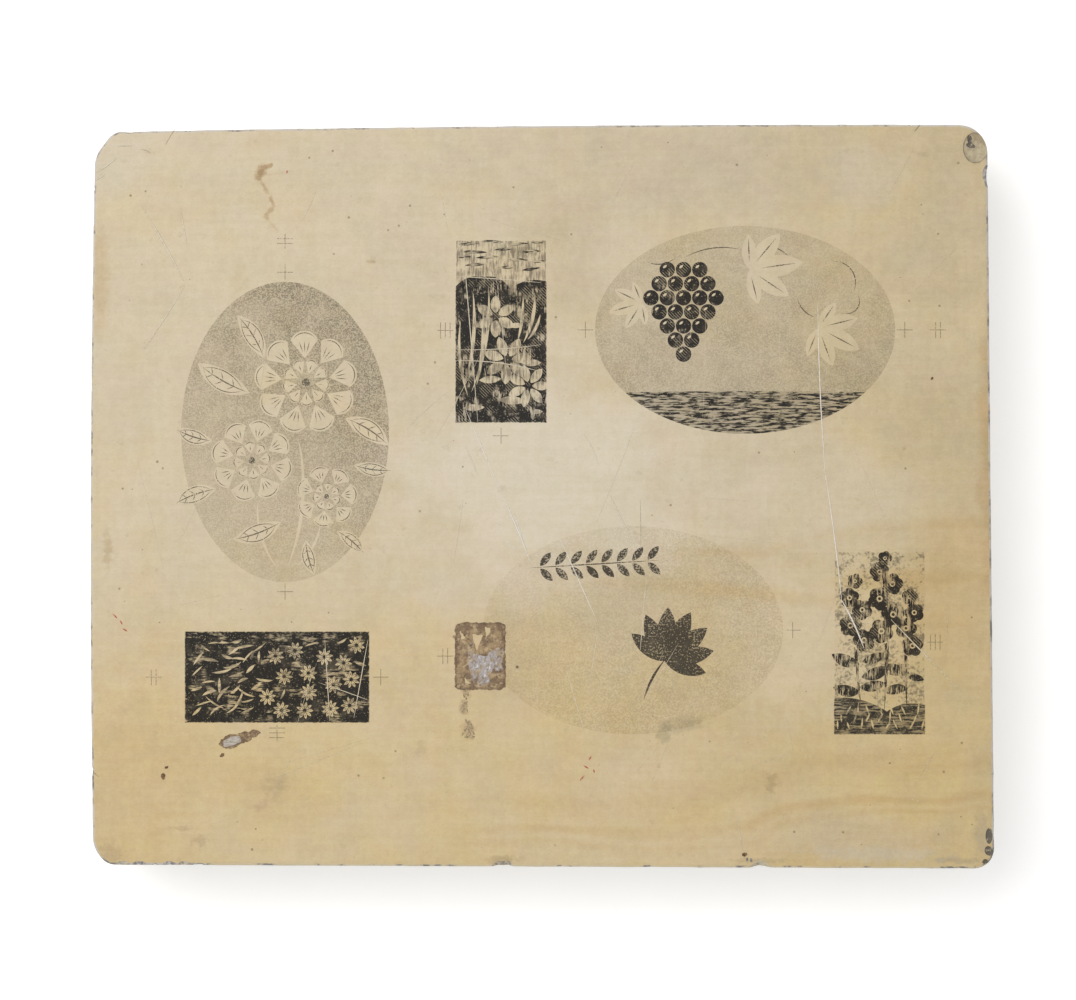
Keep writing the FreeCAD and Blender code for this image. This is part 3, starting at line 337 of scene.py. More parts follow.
def limestone_sides(tree, place, colour):
    """Below the worn upper edge: chiselled stone, greyed by handling, with old ink that ran down it. On the
    edge itself: a painted highlight along the front and a line of dirt and painted shade.
    """
    at = add(tree, "SeparateXYZ", place)
    drop = add(tree, "Math", top_level / MM, at.outputs["Z"], operation="SUBTRACT")
    side = add(tree, "MapRange", add(tree, "TexNoise", place, 1 / 30, 4.0, 0.6), 0.38, 0.62)
    side = add(tree, "Mix", side, linear("#BDB094"), linear("#A5997F"))
    slanting = add(tree, "VectorMath", place, (1.0, 1.0, 0.4), operation="MULTIPLY")
    marks = add(tree, "MapRange", add(tree, "TexNoise", slanting, 1 / 3.2, 4.0, 0.65), 0.44, 0.66, 0.0, 0.55)
    side = add(tree, "Mix", marks, side, linear("#8D826D"))
    fresh = add(tree, "MapRange", add(tree, "TexNoise", place, 1 / 6, 4.0, 0.6), 0.56, 0.68, 0.0, 0.5)
    side = add(tree, "Mix", fresh, side, linear("#D0C4AA"))
    downward = add(tree, "VectorMath", place, (1.0, 1.0, 0.12), operation="MULTIPLY")
    run = add(tree, "MapRange", add(tree, "TexNoise", downward, 1 / 8, 4.0, 0.6), 0.50, 0.68)
    high_up = add(tree, "MapRange", drop, 38.0, 3.0, 0.05, 0.60)
    side = add(tree, "Mix", add(tree, "Math", run, high_up, operation="MULTIPLY"), side, linear("#5E584F"))
    # The front edge is pale: partly rubbed, partly a painted highlight that makes up for the shade on the
    # front of the rounded edge, which faces away from the lamp.
    rubbed = add(tree, "MapRange", drop, 0.005, 0.10, 0.0, 0.6)
    at_front = add(tree, "MapRange", at.outputs["Y"], low.y / MM + 6.0, low.y / MM + 2.0)
    rubbed = add(tree, "Math", rubbed, at_front, operation="MULTIPLY")
    colour = add(tree, "Mix", rubbed, colour, linear("#E3D4AE"))
    # A thin line runs round just below the edge, dark in stretches and broken at the front: partly ink and
    # dirt, partly painted shade where the rounded edge turns away from the light. Its pale stretches are
    # painted lighter than the stone, to make up for the shade of that steep edge.
    stretch = add(tree, "MapRange", add(tree, "TexNoise", place, 1 / 13, 4.0, 0.7), 0.48, 0.66)
    edge_line_dirt_and_shade_colour = add(tree, "Mix", stretch, linear("#CDC5BA"), linear("#827D76"))
    # The line wanders up and down, so that it looks broken from above.
    wander = add(tree, "MapRange", add(tree, "TexNoise", place, 1 / 4, 4.0, 0.7), 0.35, 0.65, 0.25, 2.5)
    front_dirt_and_shadow_slivers = add(tree, "MapRange", stretch, 0.35, 0.75, 0.15, 1.0)
    # Towards the left end of the front edge the grime is thick.
    grime_middle = (low.x + grime_middle_share * slab_width) / MM
    off = add(tree, "Math", at.outputs["X"], grime_middle, operation="SUBTRACT")
    thick = add(tree, "MapRange", add(tree, "Math", off, operation="ABSOLUTE"), 24.0, 18.0)
    front_dirt_and_shadow_slivers = add(tree, "Math", front_dirt_and_shadow_slivers, thick, operation="MAXIMUM")
    thick = add(tree, "Math", thick, at_front, operation="MULTIPLY")
    thick = add(tree, "Math", thick, 6.0, 1.0, operation="MULTIPLY_ADD")
    drop_there = add(tree, "Math", drop, thick, operation="MULTIPLY")
    drop_there = add(tree, "Math", drop_there, wander, operation="MULTIPLY")
    line = add(tree, "MapRange", drop_there, 0.006, 0.11)
    kept = add(tree, "Mix", at_front, 1.0, front_dirt_and_shadow_slivers, data_type="FLOAT")
    colour = add(tree, "Mix", add(tree, "Math", line, kept, operation="MULTIPLY"), colour, edge_line_dirt_and_shade_colour)
    return add(tree, "Mix", add(tree, "MapRange", drop, 0.7, 2.6), colour, side)


def limestone_group():
    """Fine lithographic limestone, ground by hand with sand: an even, matt, faintly clouded buff face."""
    tree = bpy.data.node_groups.new("ground_limestone", "ShaderNodeTree")
    for name, kind in (("Color", "NodeSocketColor"), ("Height", "NodeSocketFloat")):
        tree.interface.new_socket(name, in_out="OUTPUT", socket_type=kind)
    place = place_in_mm(tree)
    colour = limestone_colours(tree, place)
    colour = soaked(tree, place, colour, washes, 26.0, 0.8)
    colour = soaked(tree, place, colour, stains, 3.0, 1.1)
    colour = limestone_grain(tree, place, colour)
    colour = limestone_sides(tree, place, colour)
    pores = add(tree, "TexNoise", place, 1 / 0.8, 4.0, 0.6)
    result = tree.nodes.new("NodeGroupOutput")
    tree.links.new(next(output for output in colour.outputs if output.enabled), result.inputs["Color"])
    tree.links.new(pores.outputs["Fac"], result.inputs["Height"])
    return tree


def material_of(name):
    """New material and its empty node tree."""
    made = bpy.data.materials.new(name)
    made.use_nodes = True
    tree = made.node_tree
    tree.nodes.clear()
    return made, tree


def surface(tree, colour, height, grain_height, roughness, ior):
    """Joins colour and grain in one matt surface, whose grain_height is in metres."""
    bump = add(tree, "Bump", named={"Strength": 1.0, "Distance": grain_height, "Height": height})
    shader = add(tree, "BsdfPrincipled", colour, named={"Roughness": roughness, "IOR": ior, "Normal": bump})
    add(tree, "OutputMaterial", shader)


def ground_limestone():
    """The stone's own finish: ground with wet sand, which leaves it matt and very finely grained."""
    made, tree = material_of("ground_limestone")
    stone = add(tree, "Group", node_tree=limestone)
    surface(tree, stone.outputs["Color"], stone.outputs["Height"], 0.03 * MM, 0.62, 1.5)
    return made


def broken_limestone(name, fresh, dirty, share):
    """Limestone where a chip broke out: rough, paler at the rim of the break, dirty in its hollow.

    share is how much of the break is dirty.
    """
    made, tree = material_of(name)
    place = place_in_mm(tree)
    stone = add(tree, "Group", node_tree=limestone)
    colour = add(tree, "Mix", 0.75, stone.outputs["Color"], linear(fresh))
    patch = add(tree, "TexNoise", place, 1 / 1.5, 4.0, 0.6)
    dirt = add(tree, "MapRange", patch, 0.94 - share, 1.08 - share, 0.0, 0.9)
    colour = add(tree, "Mix", dirt, colour, linear(dirty))
    surface(tree, colour, add(tree, "TexNoise", place, 1 / 1.4, 4.0, 0.6), 0.20 * MM, 0.8, 1.5)
    return made


def scarred_limestone():
    """Old shallow scar in the limestone: dull buff, soiled towards the corner, with a broken rim of dirt."""
    made, tree = material_of("scarred_limestone")
    place = place_in_mm(tree)
    size = (scar_radii[0] / MM, scar_radii[1] / MM, stain_height)
    local = add(tree, "Mapping", place, scar_place / MM, (0, 0, 0), size, vector_type="TEXTURE")
    reach = add(tree, "VectorMath", local, operation="LENGTH")
    patch = add(tree, "TexNoise", place, 1 / 3.0, 4.0, 0.6)
    colour = add(tree, "Mix", add(tree, "MapRange", patch, 0.38, 0.64), linear("#C6B897"), linear("#B2A389"))
    far_side = add(tree, "VectorMath", local, (0.4, 0.8, 0), operation="DOT_PRODUCT")
    soiled = add(tree, "MapRange", add(tree, "Math", far_side, patch, operation="ADD"), 0.70, 1.05, 0.0, 0.7)
    colour = add(tree, "Mix", soiled, colour, linear("#A08E6F"))
    brown = add(tree, "MapRange", add(tree, "TexNoise", place, 1 / 1.8, 4.0, 0.6), 0.54, 0.66, 0.0, 0.4)
    colour = add(tree, "Mix", brown, colour, linear("#9C8B68"))
    # Dirt lies in the rim, olive at the front left and violet brown on the right.
    rim = add(tree, "MapRange", reach, 0.86, 0.97)
    broken = add(tree, "MapRange", add(tree, "TexNoise", place, 1 / 2.4, 2.0, 0.6), 0.38, 0.60, 0.25, 1.0)
    rim = add(tree, "Math", rim, broken, operation="MULTIPLY")
    for way, dirt, strength in (((-0.7, -0.7, 0), "#7F755A", 0.75), ((1.0, 0.3, 0), "#8C7C72", 0.60)):
        turned = add(tree, "VectorMath", local, way, operation="DOT_PRODUCT")
        turned = add(tree, "MapRange", turned, 0.0, 0.5, 0.15 * strength, strength)
        colour = add(tree, "Mix", add(tree, "Math", rim, turned, operation="MULTIPLY"), colour, linear(dirt))
    surface(tree, colour, patch, 0.10 * MM, 0.75, 1.5)
    return made


# Ink

def old_ink(name, ink, coverage):
    """Greasy printing ink rubbed into the stone: the stone shows wherever the ink doesn't hold.

    coverage takes the tree and the place in mm, and gives how much of the stone the ink hides.
    """
    made, tree = material_of(name)
    place = place_in_mm(tree)
    stone = add(tree, "Group", node_tree=limestone)
    rubbed = add(tree, "MapRange", add(tree, "TexNoise", place, 1 / 7, 4.0, 0.6), 0.50, 0.72, 0.0, 0.25)
    body = add(tree, "Mix", rubbed, linear(ink), linear("#8C8069"))
    colour = add(tree, "Mix", coverage(tree, place), stone.outputs["Color"], body)
    # Ink that soaked into the stone is as matt as soot, so it throws back next to nothing.
    surface(tree, colour, stone.outputs["Height"], 0.03 * MM, 0.75, 1.25)
    return made


def tint(dot_size, pale, dark, direction, start, end, depth):
    """Fine stippled tint, which hides more of the stone from start to end along a direction."""
    def coverage(tree, place):
        along = add(tree, "VectorMath", place, direction, operation="DOT_PRODUCT")
        tone = add(tree, "MapRange", along, start, end, pale, dark)
        dots = add(tree, "TexNoise", place, 1 / dot_size, 1.0, 0.6)
        grain = add(tree, "MapRange", dots, 0.38, 0.62, 1 - depth, 1 + depth)
        wear = add(tree, "MapRange", add(tree, "TexNoise", place, 1 / 18, 4.0, 0.6), 0.34, 0.60, 0.70, 1.12)
        tone = add(tree, "Math", tone, grain, operation="MULTIPLY")
        return add(tree, "Math", tone, wear, operation="MULTIPLY")
    return coverage


def stipple(size, share, least=0.0, most=1.0):
    """Worm-like dots of a real size that hide about a share of the stone."""
    def coverage(tree, place):
        dots = add(tree, "TexNoise", place, 1 / size, 1.0, 0.6)
        uneven = add(tree, "MapRange", add(tree, "TexNoise", place, 1 / 14, 3.0, 0.6), 0.35, 0.65,
                     share - 0.56, share - 0.44)
        level = add(tree, "Math", dots, uneven, operation="ADD")
        return add(tree, "MapRange", level, 0.42, 0.58, least, most)
    return coverage


def brushed(size, stretch, opening, least=0.25):
    """Full tone that breaks up into dry brush strokes in places. opening is the share that breaks up."""
    def coverage(tree, place):
        drawn = add(tree, "VectorMath", place, stretch, operation="DIVIDE")
        stroke = add(tree, "TexNoise", drawn, 1 / size, 3.0, 0.6)
        stroke = add(tree, "MapRange", stroke, 0.44, 0.56, least, 1.0)
        patch = add(tree, "TexNoise", place, 1 / 8, 4.0, 0.6)
        open_share = add(tree, "MapRange", patch, 0.90 - opening, 1.04 - opening)
        broken = add(tree, "Mix", open_share, 0.97, stroke, data_type="FLOAT")
        holes = add(tree, "MapRange", add(tree, "TexNoise", place, 1 / 0.7, 2.0, 0.6), 0.30, 0.37, 0.45, 1.0)
        return add(tree, "Math", broken, holes, operation="MULTIPLY")
    return coverage


def hatched(inner):
    """A pattern that thin slanting lines of bare stone cross in some places."""
    def coverage(tree, place):
        waves = add(tree, "TexWave", place, 0.42, 0.6, 2.0, 1.0, bands_direction="DIAGONAL")
        patch = add(tree, "TexNoise", place, 1 / 9, 2.0, 0.6)
        line = add(tree, "Math", add(tree, "MapRange", waves, 0.86, 0.97, 0.0, 0.55),
                   add(tree, "MapRange", patch, 0.52, 0.58), operation="MULTIPLY")
        left = add(tree, "Math", 1.0, line, operation="SUBTRACT")
        return add(tree, "Math", inner(tree, place), left, operation="MULTIPLY")
    return coverage


def room_to_edge(tree, place, node):
    """Distance in mm inwards from the straight edges of a print or patch."""
    low_corner, high_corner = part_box(node)
    off = add(tree, "VectorMath", place, (low_corner + high_corner) / 2 / MM, operation="SUBTRACT")
    off = add(tree, "VectorMath", off, operation="ABSOLUTE")
    room = add(tree, "VectorMath", (high_corner - low_corner) / 2 / MM, off, operation="SUBTRACT")
    room = add(tree, "SeparateXYZ", room)
    return add(tree, "Math", room.outputs["X"], room.outputs["Y"], operation="MINIMUM")


# About how far in from its edge, in mm, a print has worn off
fray_reach = 0.8


def frayed(node, inner):
    """A pattern that has worn off unevenly along the straight edges of its print."""
    def coverage(tree, place):
        rag = add(tree, "TexNoise", place, 1 / 1.5, 3.0, 0.6)
        room = room_to_edge(tree, place, node)
        inward = add(tree, "Math", rag, -2 * fray_reach, room, operation="MULTIPLY_ADD")
        kept = add(tree, "MapRange", inward, -1.15 * fray_reach, -0.50 * fray_reach, 0.15, 1.0)
        return add(tree, "Math", inner(tree, place), kept, operation="MULTIPLY")
    return coverage


def faded(inner, top):
    """A pattern that never hides more than a share of the stone."""
    def coverage(tree, place):
        return add(tree, "Math", inner(tree, place), top, operation="MULTIPLY")
    return coverage


def grey_wash(size, stretch, patch_size, start, end, most):
    """Uneven half-tone, laid with a drier brush: it shows where the black leaves the stone bare."""
    def coverage(tree, place):
        drawn = add(tree, "VectorMath", place, stretch, operation="DIVIDE")
        stroke = add(tree, "TexNoise", drawn, 1 / size, 3.0, 0.65)
        patch = add(tree, "TexNoise", place, 1 / patch_size, 3.0, 0.6)
        both = add(tree, "Math", stroke, 0.55, add(tree, "Math", patch, 0.45, operation="MULTIPLY"),
                   operation="MULTIPLY_ADD")
        return add(tree, "MapRange", both, start, end, 0.0, most)
    return coverage


# Height of a half-tone film, which lies under the black of its print, and the step of its ragged outline
wash_height = 0.02 * MM
wash_step = 0.9 * MM
wash_rag = 0.9 * MM


def half_tone(name, prints, material):
    """Half-tone film of a panel: a thin plate as large as the print, with a ragged outline."""
    boxes = [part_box(node) for node in prints]
    left, right = min(box[0].x for box in boxes), max(box[1].x for box in boxes)
    front, back = min(box[0].y for box in boxes), max(box[1].y for box in boxes)
    width, depth = right - left, back - front
    bpy.ops.object.select_all(action="DESELECT")
    bpy.ops.mesh.primitive_grid_add(x_subdivisions=round(width / wash_step),
                                    y_subdivisions=round(depth / wash_step), size=1.0,
                                    location=((left + right) / 2, (front + back) / 2, top_level))
    film = bpy.context.object
    film.scale = (width - wash_rag, depth - wash_rag, 1.0)
    bpy.ops.object.transform_apply(location=True, rotation=True, scale=True)
    start_edit(film)
    pick(film, "EDGE", lambda edge: len(edge.link_faces) == 1)
    bpy.ops.mesh.select_mode(type="VERT")
    film.vertex_groups.new(name="rim")
    bpy.ops.object.vertex_group_assign()
    end_edit()
    for axis, size in (("X", 1.6 * MM), ("Y", 2.1 * MM)):
        modifier(film, "DISPLACE", texture=lumps("wash_rag", "CLOUDS", size), texture_coords="GLOBAL",
                 vertex_group="rim", direction=axis, strength=wash_rag, mid_level=0.5)
    modifier(film, "SOLIDIFY", thickness=wash_height, offset=1.0)
    return settle(film, name, material)


# Light, floor and camera

def studio():
    """White floor and soft light from the back left, as over a copy stand."""
    bpy.ops.object.select_all(action="DESELECT")
    bpy.ops.mesh.primitive_plane_add(size=floor_size)
    floor = bpy.context.object
    floor.name = "floor"
    made, tree = material_of("white_paper")
    # Coated white paper under bright light: the glow stands for the light that it throws back.
    paper = add(tree, "TexNoise", place_in_mm(tree), 1 / 40, 2.0, 0.6)
    colour = add(tree, "Mix", paper, linear("#F4F4F4"), linear("#FAFAFA"))
    glow = {"Roughness": 0.9, "Emission Color": (1, 1, 1, 1), "Emission Strength": floor_glow}
    add(tree, "OutputMaterial", add(tree, "BsdfPrincipled", colour, named=glow))
    floor.data.materials.append(made)

    world = bpy.data.worlds.new("studio")
    bpy.context.scene.world = world
    world.use_nodes = True
    world.node_tree.nodes["Background"].inputs["Color"].default_value = (1, 1, 1, 1)
    world.node_tree.nodes["Background"].inputs["Strength"].default_value = room_light

    middle = Vector((0, 0, top_level))
    bpy.ops.object.light_add(type="AREA", location=middle + lamp_direction.normalized() * lamp_distance)
    lamp = bpy.context.object
    lamp.rotation_euler = lamp_direction.to_track_quat("Z", "Y").to_euler()
    lamp.data.shape = "SQUARE"
    lamp.data.size = lamp_size
    lamp.data.energy = lamp_power
    lamp.visible_camera = False

    camera_place = camera_foot + Vector((0, 0, top_level + camera_height))
    bpy.ops.object.camera_add(location=camera_place, rotation=(0, 0, 0))
    camera = bpy.context.object
    camera.data.sensor_width = film_width
    camera.data.lens = film_width * camera_height / view_width
    camera.data.clip_end = 20.0
    bpy.context.scene.camera = camera
    bpy.context.scene.view_settings.view_transform = "Standard"


floor_size = 6.0
floor_glow = 0.43
room_light = 0.45
lamp_direction = Vector((-0.45, 0.35, 1.0))
lamp_distance = 2.5
lamp_size = 1.9
lamp_power = 38.0
camera_foot = Vector((-2.03 * MM, -1.79 * MM, 0))
camera_height = 2.0
film_width = 36.0
view_width = 512.8 * MM


# Slab

# Sharp corners of the slab's outline, as shares of its width and depth.
front_left = on_top(0.00252, 0.00531)
front_right = on_top(1.0, 0.0)
back_left = on_top(0.00472, 0.98973)
back_right = on_top(0.99230, 0.99975)
back_left_cut = (9.0 * MM, 12.0 * MM)
front_left_cut = (6.5 * MM, 9.0 * MM)
cut_end_radius = 10.0 * MM
back_right_radius = 14.0 * MM
front_right_radius = 10.0 * MM
back_swell = 1.15 * MM
left_swell = 1.50 * MM
step = 2.2 * MM
arris = 1.6 * MM
arris_room = 3.0 * MM
foot_chamfer = 2.4 * MM
foot_room = 4.0 * MM
side_roughness = 3.2 * MM
# Name, kind, size in mm and share of the roughness of what makes up the sides' relief
side_relief = (
    ("facets", "VORONOI", 13.0, 0.40),
    ("hollows", "CLOUDS", 6.0, 0.38),
    ("grit", "CLOUDS", 2.5, 0.22),
)
underside_share = 0.25
foot_wear = 0.18 * MM
# How far a vertex may lie from a corner, from the line of a side or from a level and still count as on it
corner_room = 0.1 * MM
line_room = 0.02 * MM
level_room = 0.01 * MM
# The upper and the lower face each have more corners than this, and no other face does
many_corners = 100
smooth_angle = 28.0


def flat(point):
    return Vector((point.x, point.y, 0))


def near(point, reach):
    return lambda item: (flat(item.co) - flat(point)).length < reach


def mid_level_of(face):
    return face.calc_center_median().z


def strike_corner(point, cut):
    """Bisects a left corner off the flat outline and rounds the two ends of the cut."""
    width, depth = cut
    along = -math.copysign(depth, point.y)
    first = flat(point) + Vector((width, 0, 0))
    second = flat(point) + Vector((0, along, 0))
    run = (second - first).normalized()
    outward = Vector((-run.y, run.x, 0))
    if outward.dot(flat(point)) < 0:
        outward.negate()
    bpy.ops.mesh.select_all(action="SELECT")
    bpy.ops.mesh.bisect(plane_co=first, plane_no=outward, clear_outer=True)
    # The outline turns by about 45 degrees at each end of the cut.
    round_reach = cut_end_radius * math.tan(math.radians(22.5))
    for end in (first, second):
        pick(bpy.context.object, "VERT", near(end, corner_room))
        bpy.ops.mesh.bevel(offset=round_reach, segments=4, affect="VERTICES")


def swell(slab, start, end, rise):
    """Bows a straight side of the outline outwards, most at mid-length."""
    run = (flat(end) - flat(start)).normalized()
    outward = Vector((-run.y, run.x, 0))
    on_side = [v for v in slab.data.vertices if abs((v.co - flat(start)).dot(outward)) < line_room]
    reach = [(v.co - flat(start)).dot(run) for v in on_side]
    for v, along in zip(on_side, reach):
        share = (along - min(reach)) / (max(reach) - min(reach))
        v.co += outward * rise * 4 * share * (1 - share)


def slab_outline():
    """Flat outline at the foot: four sides with struck and rounded corners, in short steps."""
    bpy.ops.object.select_all(action="DESELECT")
    bpy.ops.mesh.primitive_plane_add(size=slab_depth)
    slab = bpy.context.object
    for vertex, place in zip(slab.data.vertices, (front_left, front_right, back_left, back_right)):
        vertex.co = flat(place)
    start_edit(slab)
    strike_corner(back_left, back_left_cut)
    strike_corner(front_left, front_left_cut)
    for place, radius in ((back_right, back_right_radius), (front_right, front_right_radius)):
        pick(slab, "VERT", near(place, corner_room))
        bpy.ops.mesh.bevel(offset=radius, segments=8, affect="VERTICES")
    bpy.ops.mesh.select_all(action="SELECT")
    bpy.ops.mesh.delete(type="ONLY_FACE")
    longest = slab_width
    while longest > 1.3 * step:
        pick(slab, "EDGE", lambda edge: edge.calc_length() > longest - same_place)
        bpy.ops.mesh.subdivide(number_cuts=max(1, round(longest / step) - 1))
        longest = max(edge.calc_length() for edge in bmesh.from_edit_mesh(slab.data).edges)
    end_edit()
    # Each side is given from the end that has outwards on its left.
    swell(slab, front_left, back_left, left_swell)
    swell(slab, back_left, back_right, back_swell)
    return slab


def raise_slab(slab):
    """Draws the outline up, rounds the upper edge, chamfers the foot and divides the underside."""
    start_edit(slab)
    bpy.ops.mesh.select_all(action="SELECT")
    bpy.ops.mesh.edge_face_add()
    pick(slab, "FACE", lambda face: True)
    between = top_level - foot_room - arris_room
    rises = [foot_room] + [between / round(between / step)] * round(between / step) + [arris_room]
    for rise in rises:
        bpy.ops.mesh.extrude_region_move(TRANSFORM_OT_translate={"value": (0, 0, rise)})
    pick(slab, "EDGE", lambda edge: all(v.co.z > top_level - level_room for v in edge.verts))
    bpy.ops.mesh.bevel(offset=arris, segments=4, profile=0.5, affect="EDGES", clamp_overlap=False)
    pick(slab, "EDGE", lambda edge: all(v.co.z < level_room for v in edge.verts))
    bpy.ops.mesh.bevel(offset=foot_chamfer, segments=2, profile=0.5, affect="EDGES", clamp_overlap=False)
    pick(slab, "FACE", lambda face: len(face.verts) > many_corners and mid_level_of(face) > top_level / 2)
    bpy.ops.mesh.inset(thickness=arris / 2)
    pick(slab, "FACE", lambda face: len(face.verts) > many_corners and mid_level_of(face) < top_level / 2)
    bpy.ops.mesh.delete(type="ONLY_FACE")
    rim = pick(slab, "EDGE", lambda edge: len(edge.link_faces) == 1)
    bpy.ops.mesh.fill_grid(span=round(rim / 2 * slab_depth / (slab_width + slab_depth)))
    bpy.ops.mesh.select_all(action="SELECT")
    bpy.ops.mesh.normals_make_consistent(inside=False)
    end_edit()


def roughen_sides(slab):
    """Hewn sides and a coarsely sawn underside, cut inwards only, so that the block keeps its size."""
    hewn = slab.vertex_groups.new(name="hewn")
    for vertex in slab.data.vertices:
        depth_share = (top_level - vertex.co.z) / arris_room
        if vertex.co.z < level_room:
            hewn.add([vertex.index], underside_share, "REPLACE")
        elif depth_share > 0:
            hewn.add([vertex.index], min(1.0, depth_share) ** 1.5, "REPLACE")
    for name, kind, size, share in side_relief:
        modifier(slab, "DISPLACE", texture=lumps(name, kind, size * MM), texture_coords="GLOBAL",
                 vertex_group="hewn", strength=side_roughness * share, mid_level=1.0)
    # The block stands on its high points, which are worn flat.
    start_edit(slab)
    pick(slab, "VERT", lambda vertex: vertex.co.z < foot_wear)
    bpy.ops.transform.resize(value=(1, 1, 0), center_override=(0, 0, 0))
    end_edit()


# Length, reach inwards and drop of chips, in mm.
long_chip = (13.0, 3.4, 3.2)
worn_chip = (13.0, 2.9, 2.6)
ragged_chip = (9.0, 2.3, 1.5)
flake = (10.0, 1.7, 2.6)
small_chip = (4.2, 1.4, 1.8)
sliver = (5.5, 0.8, 1.5)
# Side of the outline, share along it from the left or the front, size and state of each chip.
chips = [
    ("front", 0.034, ragged_chip, "grimy"),
    ("front", 0.053, ragged_chip, "inky"),
    ("front", 0.070, small_chip, "grimy"),
    ("front", 0.086, ragged_chip, "inky"),
    ("front", 0.103, ragged_chip, "grimy"),
    ("front", 0.118, flake, "inky"),
    ("front", 0.187, sliver, "inky"),
    ("front", 0.253, sliver, "grimy"),
    ("front", 0.456, long_chip, "grimy"),
    ("front", 0.564, sliver, "inky"),
    ("front", 0.740, long_chip, "pale"),
    ("front", 0.936, sliver, "inky"),
    ("front", 0.966, sliver, "inky"),
    ("back", 0.040, flake, "grimy"),
    ("back", 0.105, small_chip, "inky"),
    ("back", 0.914, small_chip, "grimy"),
    ("back", 0.948, sliver, "inky"),
    ("right", 0.930, worn_chip, "inky"),
    ("right", 0.721, sliver, "grimy"),
    ("right", 0.560, sliver, "grimy"),
    ("right", 0.300, sliver, "inky"),
    ("left", 0.922, small_chip, "inky"),
    ("left", 0.895, sliver, "inky"),
    ("left", 0.337, sliver, "grimy"),
    ("left", 0.130, flake, "inky"),
    ("left", 0.070, sliver, "inky"),
]
outline_sides = {
    "front": (front_left, front_right, 0.0),
    "back": (back_left, back_right, back_swell),
    "right": (front_right, back_right, 0.0),
    "left": (front_left, back_left, left_swell),
}
# Number of small nicks, their length in mm, the shares of it that they reach in and down, and their least
# spacing as a share of a side
nick_count = 90
nick_lengths = (1.2, 3.2)
nick_reach_shares = (0.14, 0.28)
nick_drop_shares = (0.25, 0.45)
nick_spacing_share = 0.012
# The scar beside the back right corner: its middle, half sizes and ripple
scar_place = on_top(0.9783, 0.9673)
scar_radii = (6.1 * MM, 7.4 * MM, 1.0 * MM)
scar_ripple = 0.50 * MM
# Ripples of a bowl's skin: their size as a share of its width, and in a pit their height as one of its depth
ripple_size_share = 0.35
pit_ripple_share = 0.5
# Lumps of a break: their size as a share of its length, and their height as one of its reach or drop
lump_size_share = 0.28
lump_height_share = 0.44
# Middle, half sizes, turn in degrees and state of the pits in the ground face. The first two are the dark
# hollow in the scar.
pits = [
    (on_top(0.9722, 0.9773, -0.5 * MM), (1.2 * MM, 2.7 * MM, 0.9 * MM), 10, "filthy"),
    (on_top(0.9733, 0.9705, -0.5 * MM), (2.4 * MM, 1.3 * MM, 0.9 * MM), -15, "filthy"),
    (on_top(0.9932, 0.0450), (1.7 * MM, 3.7 * MM, 0.6 * MM), 0, "filthy"),
    (on_top(0.9928, 0.0250), (1.9 * MM, 2.4 * MM, 0.7 * MM), 25, "filthy"),
    (on_top(0.9890, 0.0105), (1.4 * MM, 1.3 * MM, 0.7 * MM), 0, "filthy"),
    (on_top(0.7262, 0.0135), (0.5 * MM, 0.9 * MM, 0.5 * MM), 0, "inky"),
    (on_top(0.7306, 0.0125), (0.6 * MM, 1.0 * MM, 0.5 * MM), 10, "inky"),
    (on_top(0.7390, 0.0100), (2.2 * MM, 0.8 * MM, 0.4 * MM), -8, "pale"),
]


def side_place(side, share):
    """Place on the upper edge of a side, and the way that the side faces."""
    start, end, rise = outline_sides[side]
    run = flat(end - start).normalized()
    outward = Vector((-run.y, run.x, 0))
    if outward.dot(flat(start + end)) < 0:
        outward.negate()
    return start.lerp(end, share) + outward * rise * 4 * share * (1 - share), outward


def breaker(place, outward, sizes, material):
    """Lumpy ball that breaks one shell-shaped chip out of the upper edge."""
    length, reach, drop = (s * MM for s in sizes)
    half = length / 2
    out = (half * half - reach * reach) / (2 * reach)
    above = (half * half - drop * drop) / (2 * drop)
    radius = math.sqrt(half * half + out * out + above * above)
    bpy.ops.object.select_all(action="DESELECT")
    bpy.ops.mesh.primitive_ico_sphere_add(subdivisions=5 if length > 6 * MM else 4, radius=radius,
                                          location=place + outward * out + Vector((0, 0, above)))
    ball = bpy.context.object
    bpy.ops.object.transform_apply(location=True, rotation=True, scale=True)
    rough = lumps("break", "CLOUDS", lump_size_share * length)
    modifier(ball, "DISPLACE", texture=rough, texture_coords="GLOBAL",
             strength=lump_height_share * min(reach, drop), mid_level=0.5)
    ball.data.materials.append(material)
    return ball


def bowl_cutter(middle, radii, turn, ripple, material):
    """Flattened ball with a rippled skin that sinks a bowl into the ground face."""
    bpy.ops.object.select_all(action="DESELECT")
    bpy.ops.mesh.primitive_uv_sphere_add(segments=48, ring_count=24, radius=1.0, location=middle,
                                         rotation=(0, 0, math.radians(turn)))
    bowl = bpy.context.object
    bowl.scale = radii
    bpy.ops.object.transform_apply(location=True, rotation=True, scale=True)
    ripples = lumps("ripple", "CLOUDS", ripple_size_share * min(radii[:2]))
    modifier(bowl, "DISPLACE", texture=ripples, texture_coords="GLOBAL", strength=ripple, mid_level=0.5)
    bowl.data.materials.append(material)
    return bowl


def apart(first, second):
    """Whether two boxes, each given by its low and high corner, have room between them."""
    return any(first[0][axis] > second[1][axis] or first[1][axis] < second[0][axis] for axis in range(3))


def rounds_of(tools):
    """Sorts cutters into rounds, so that no two in a round touch."""
    rounds = []
    for tool in tools:
        box = [Vector(pick_end(v.co[axis] for v in tool.data.vertices) for axis in range(3))
               for pick_end in (min, max)]
        for members in rounds:
            if all(apart(box, other) for mate, other in members):
                members.append((tool, box))
                break
        else:
            rounds.append([(tool, box)])
    return [[tool for tool, box in members] for members in rounds]


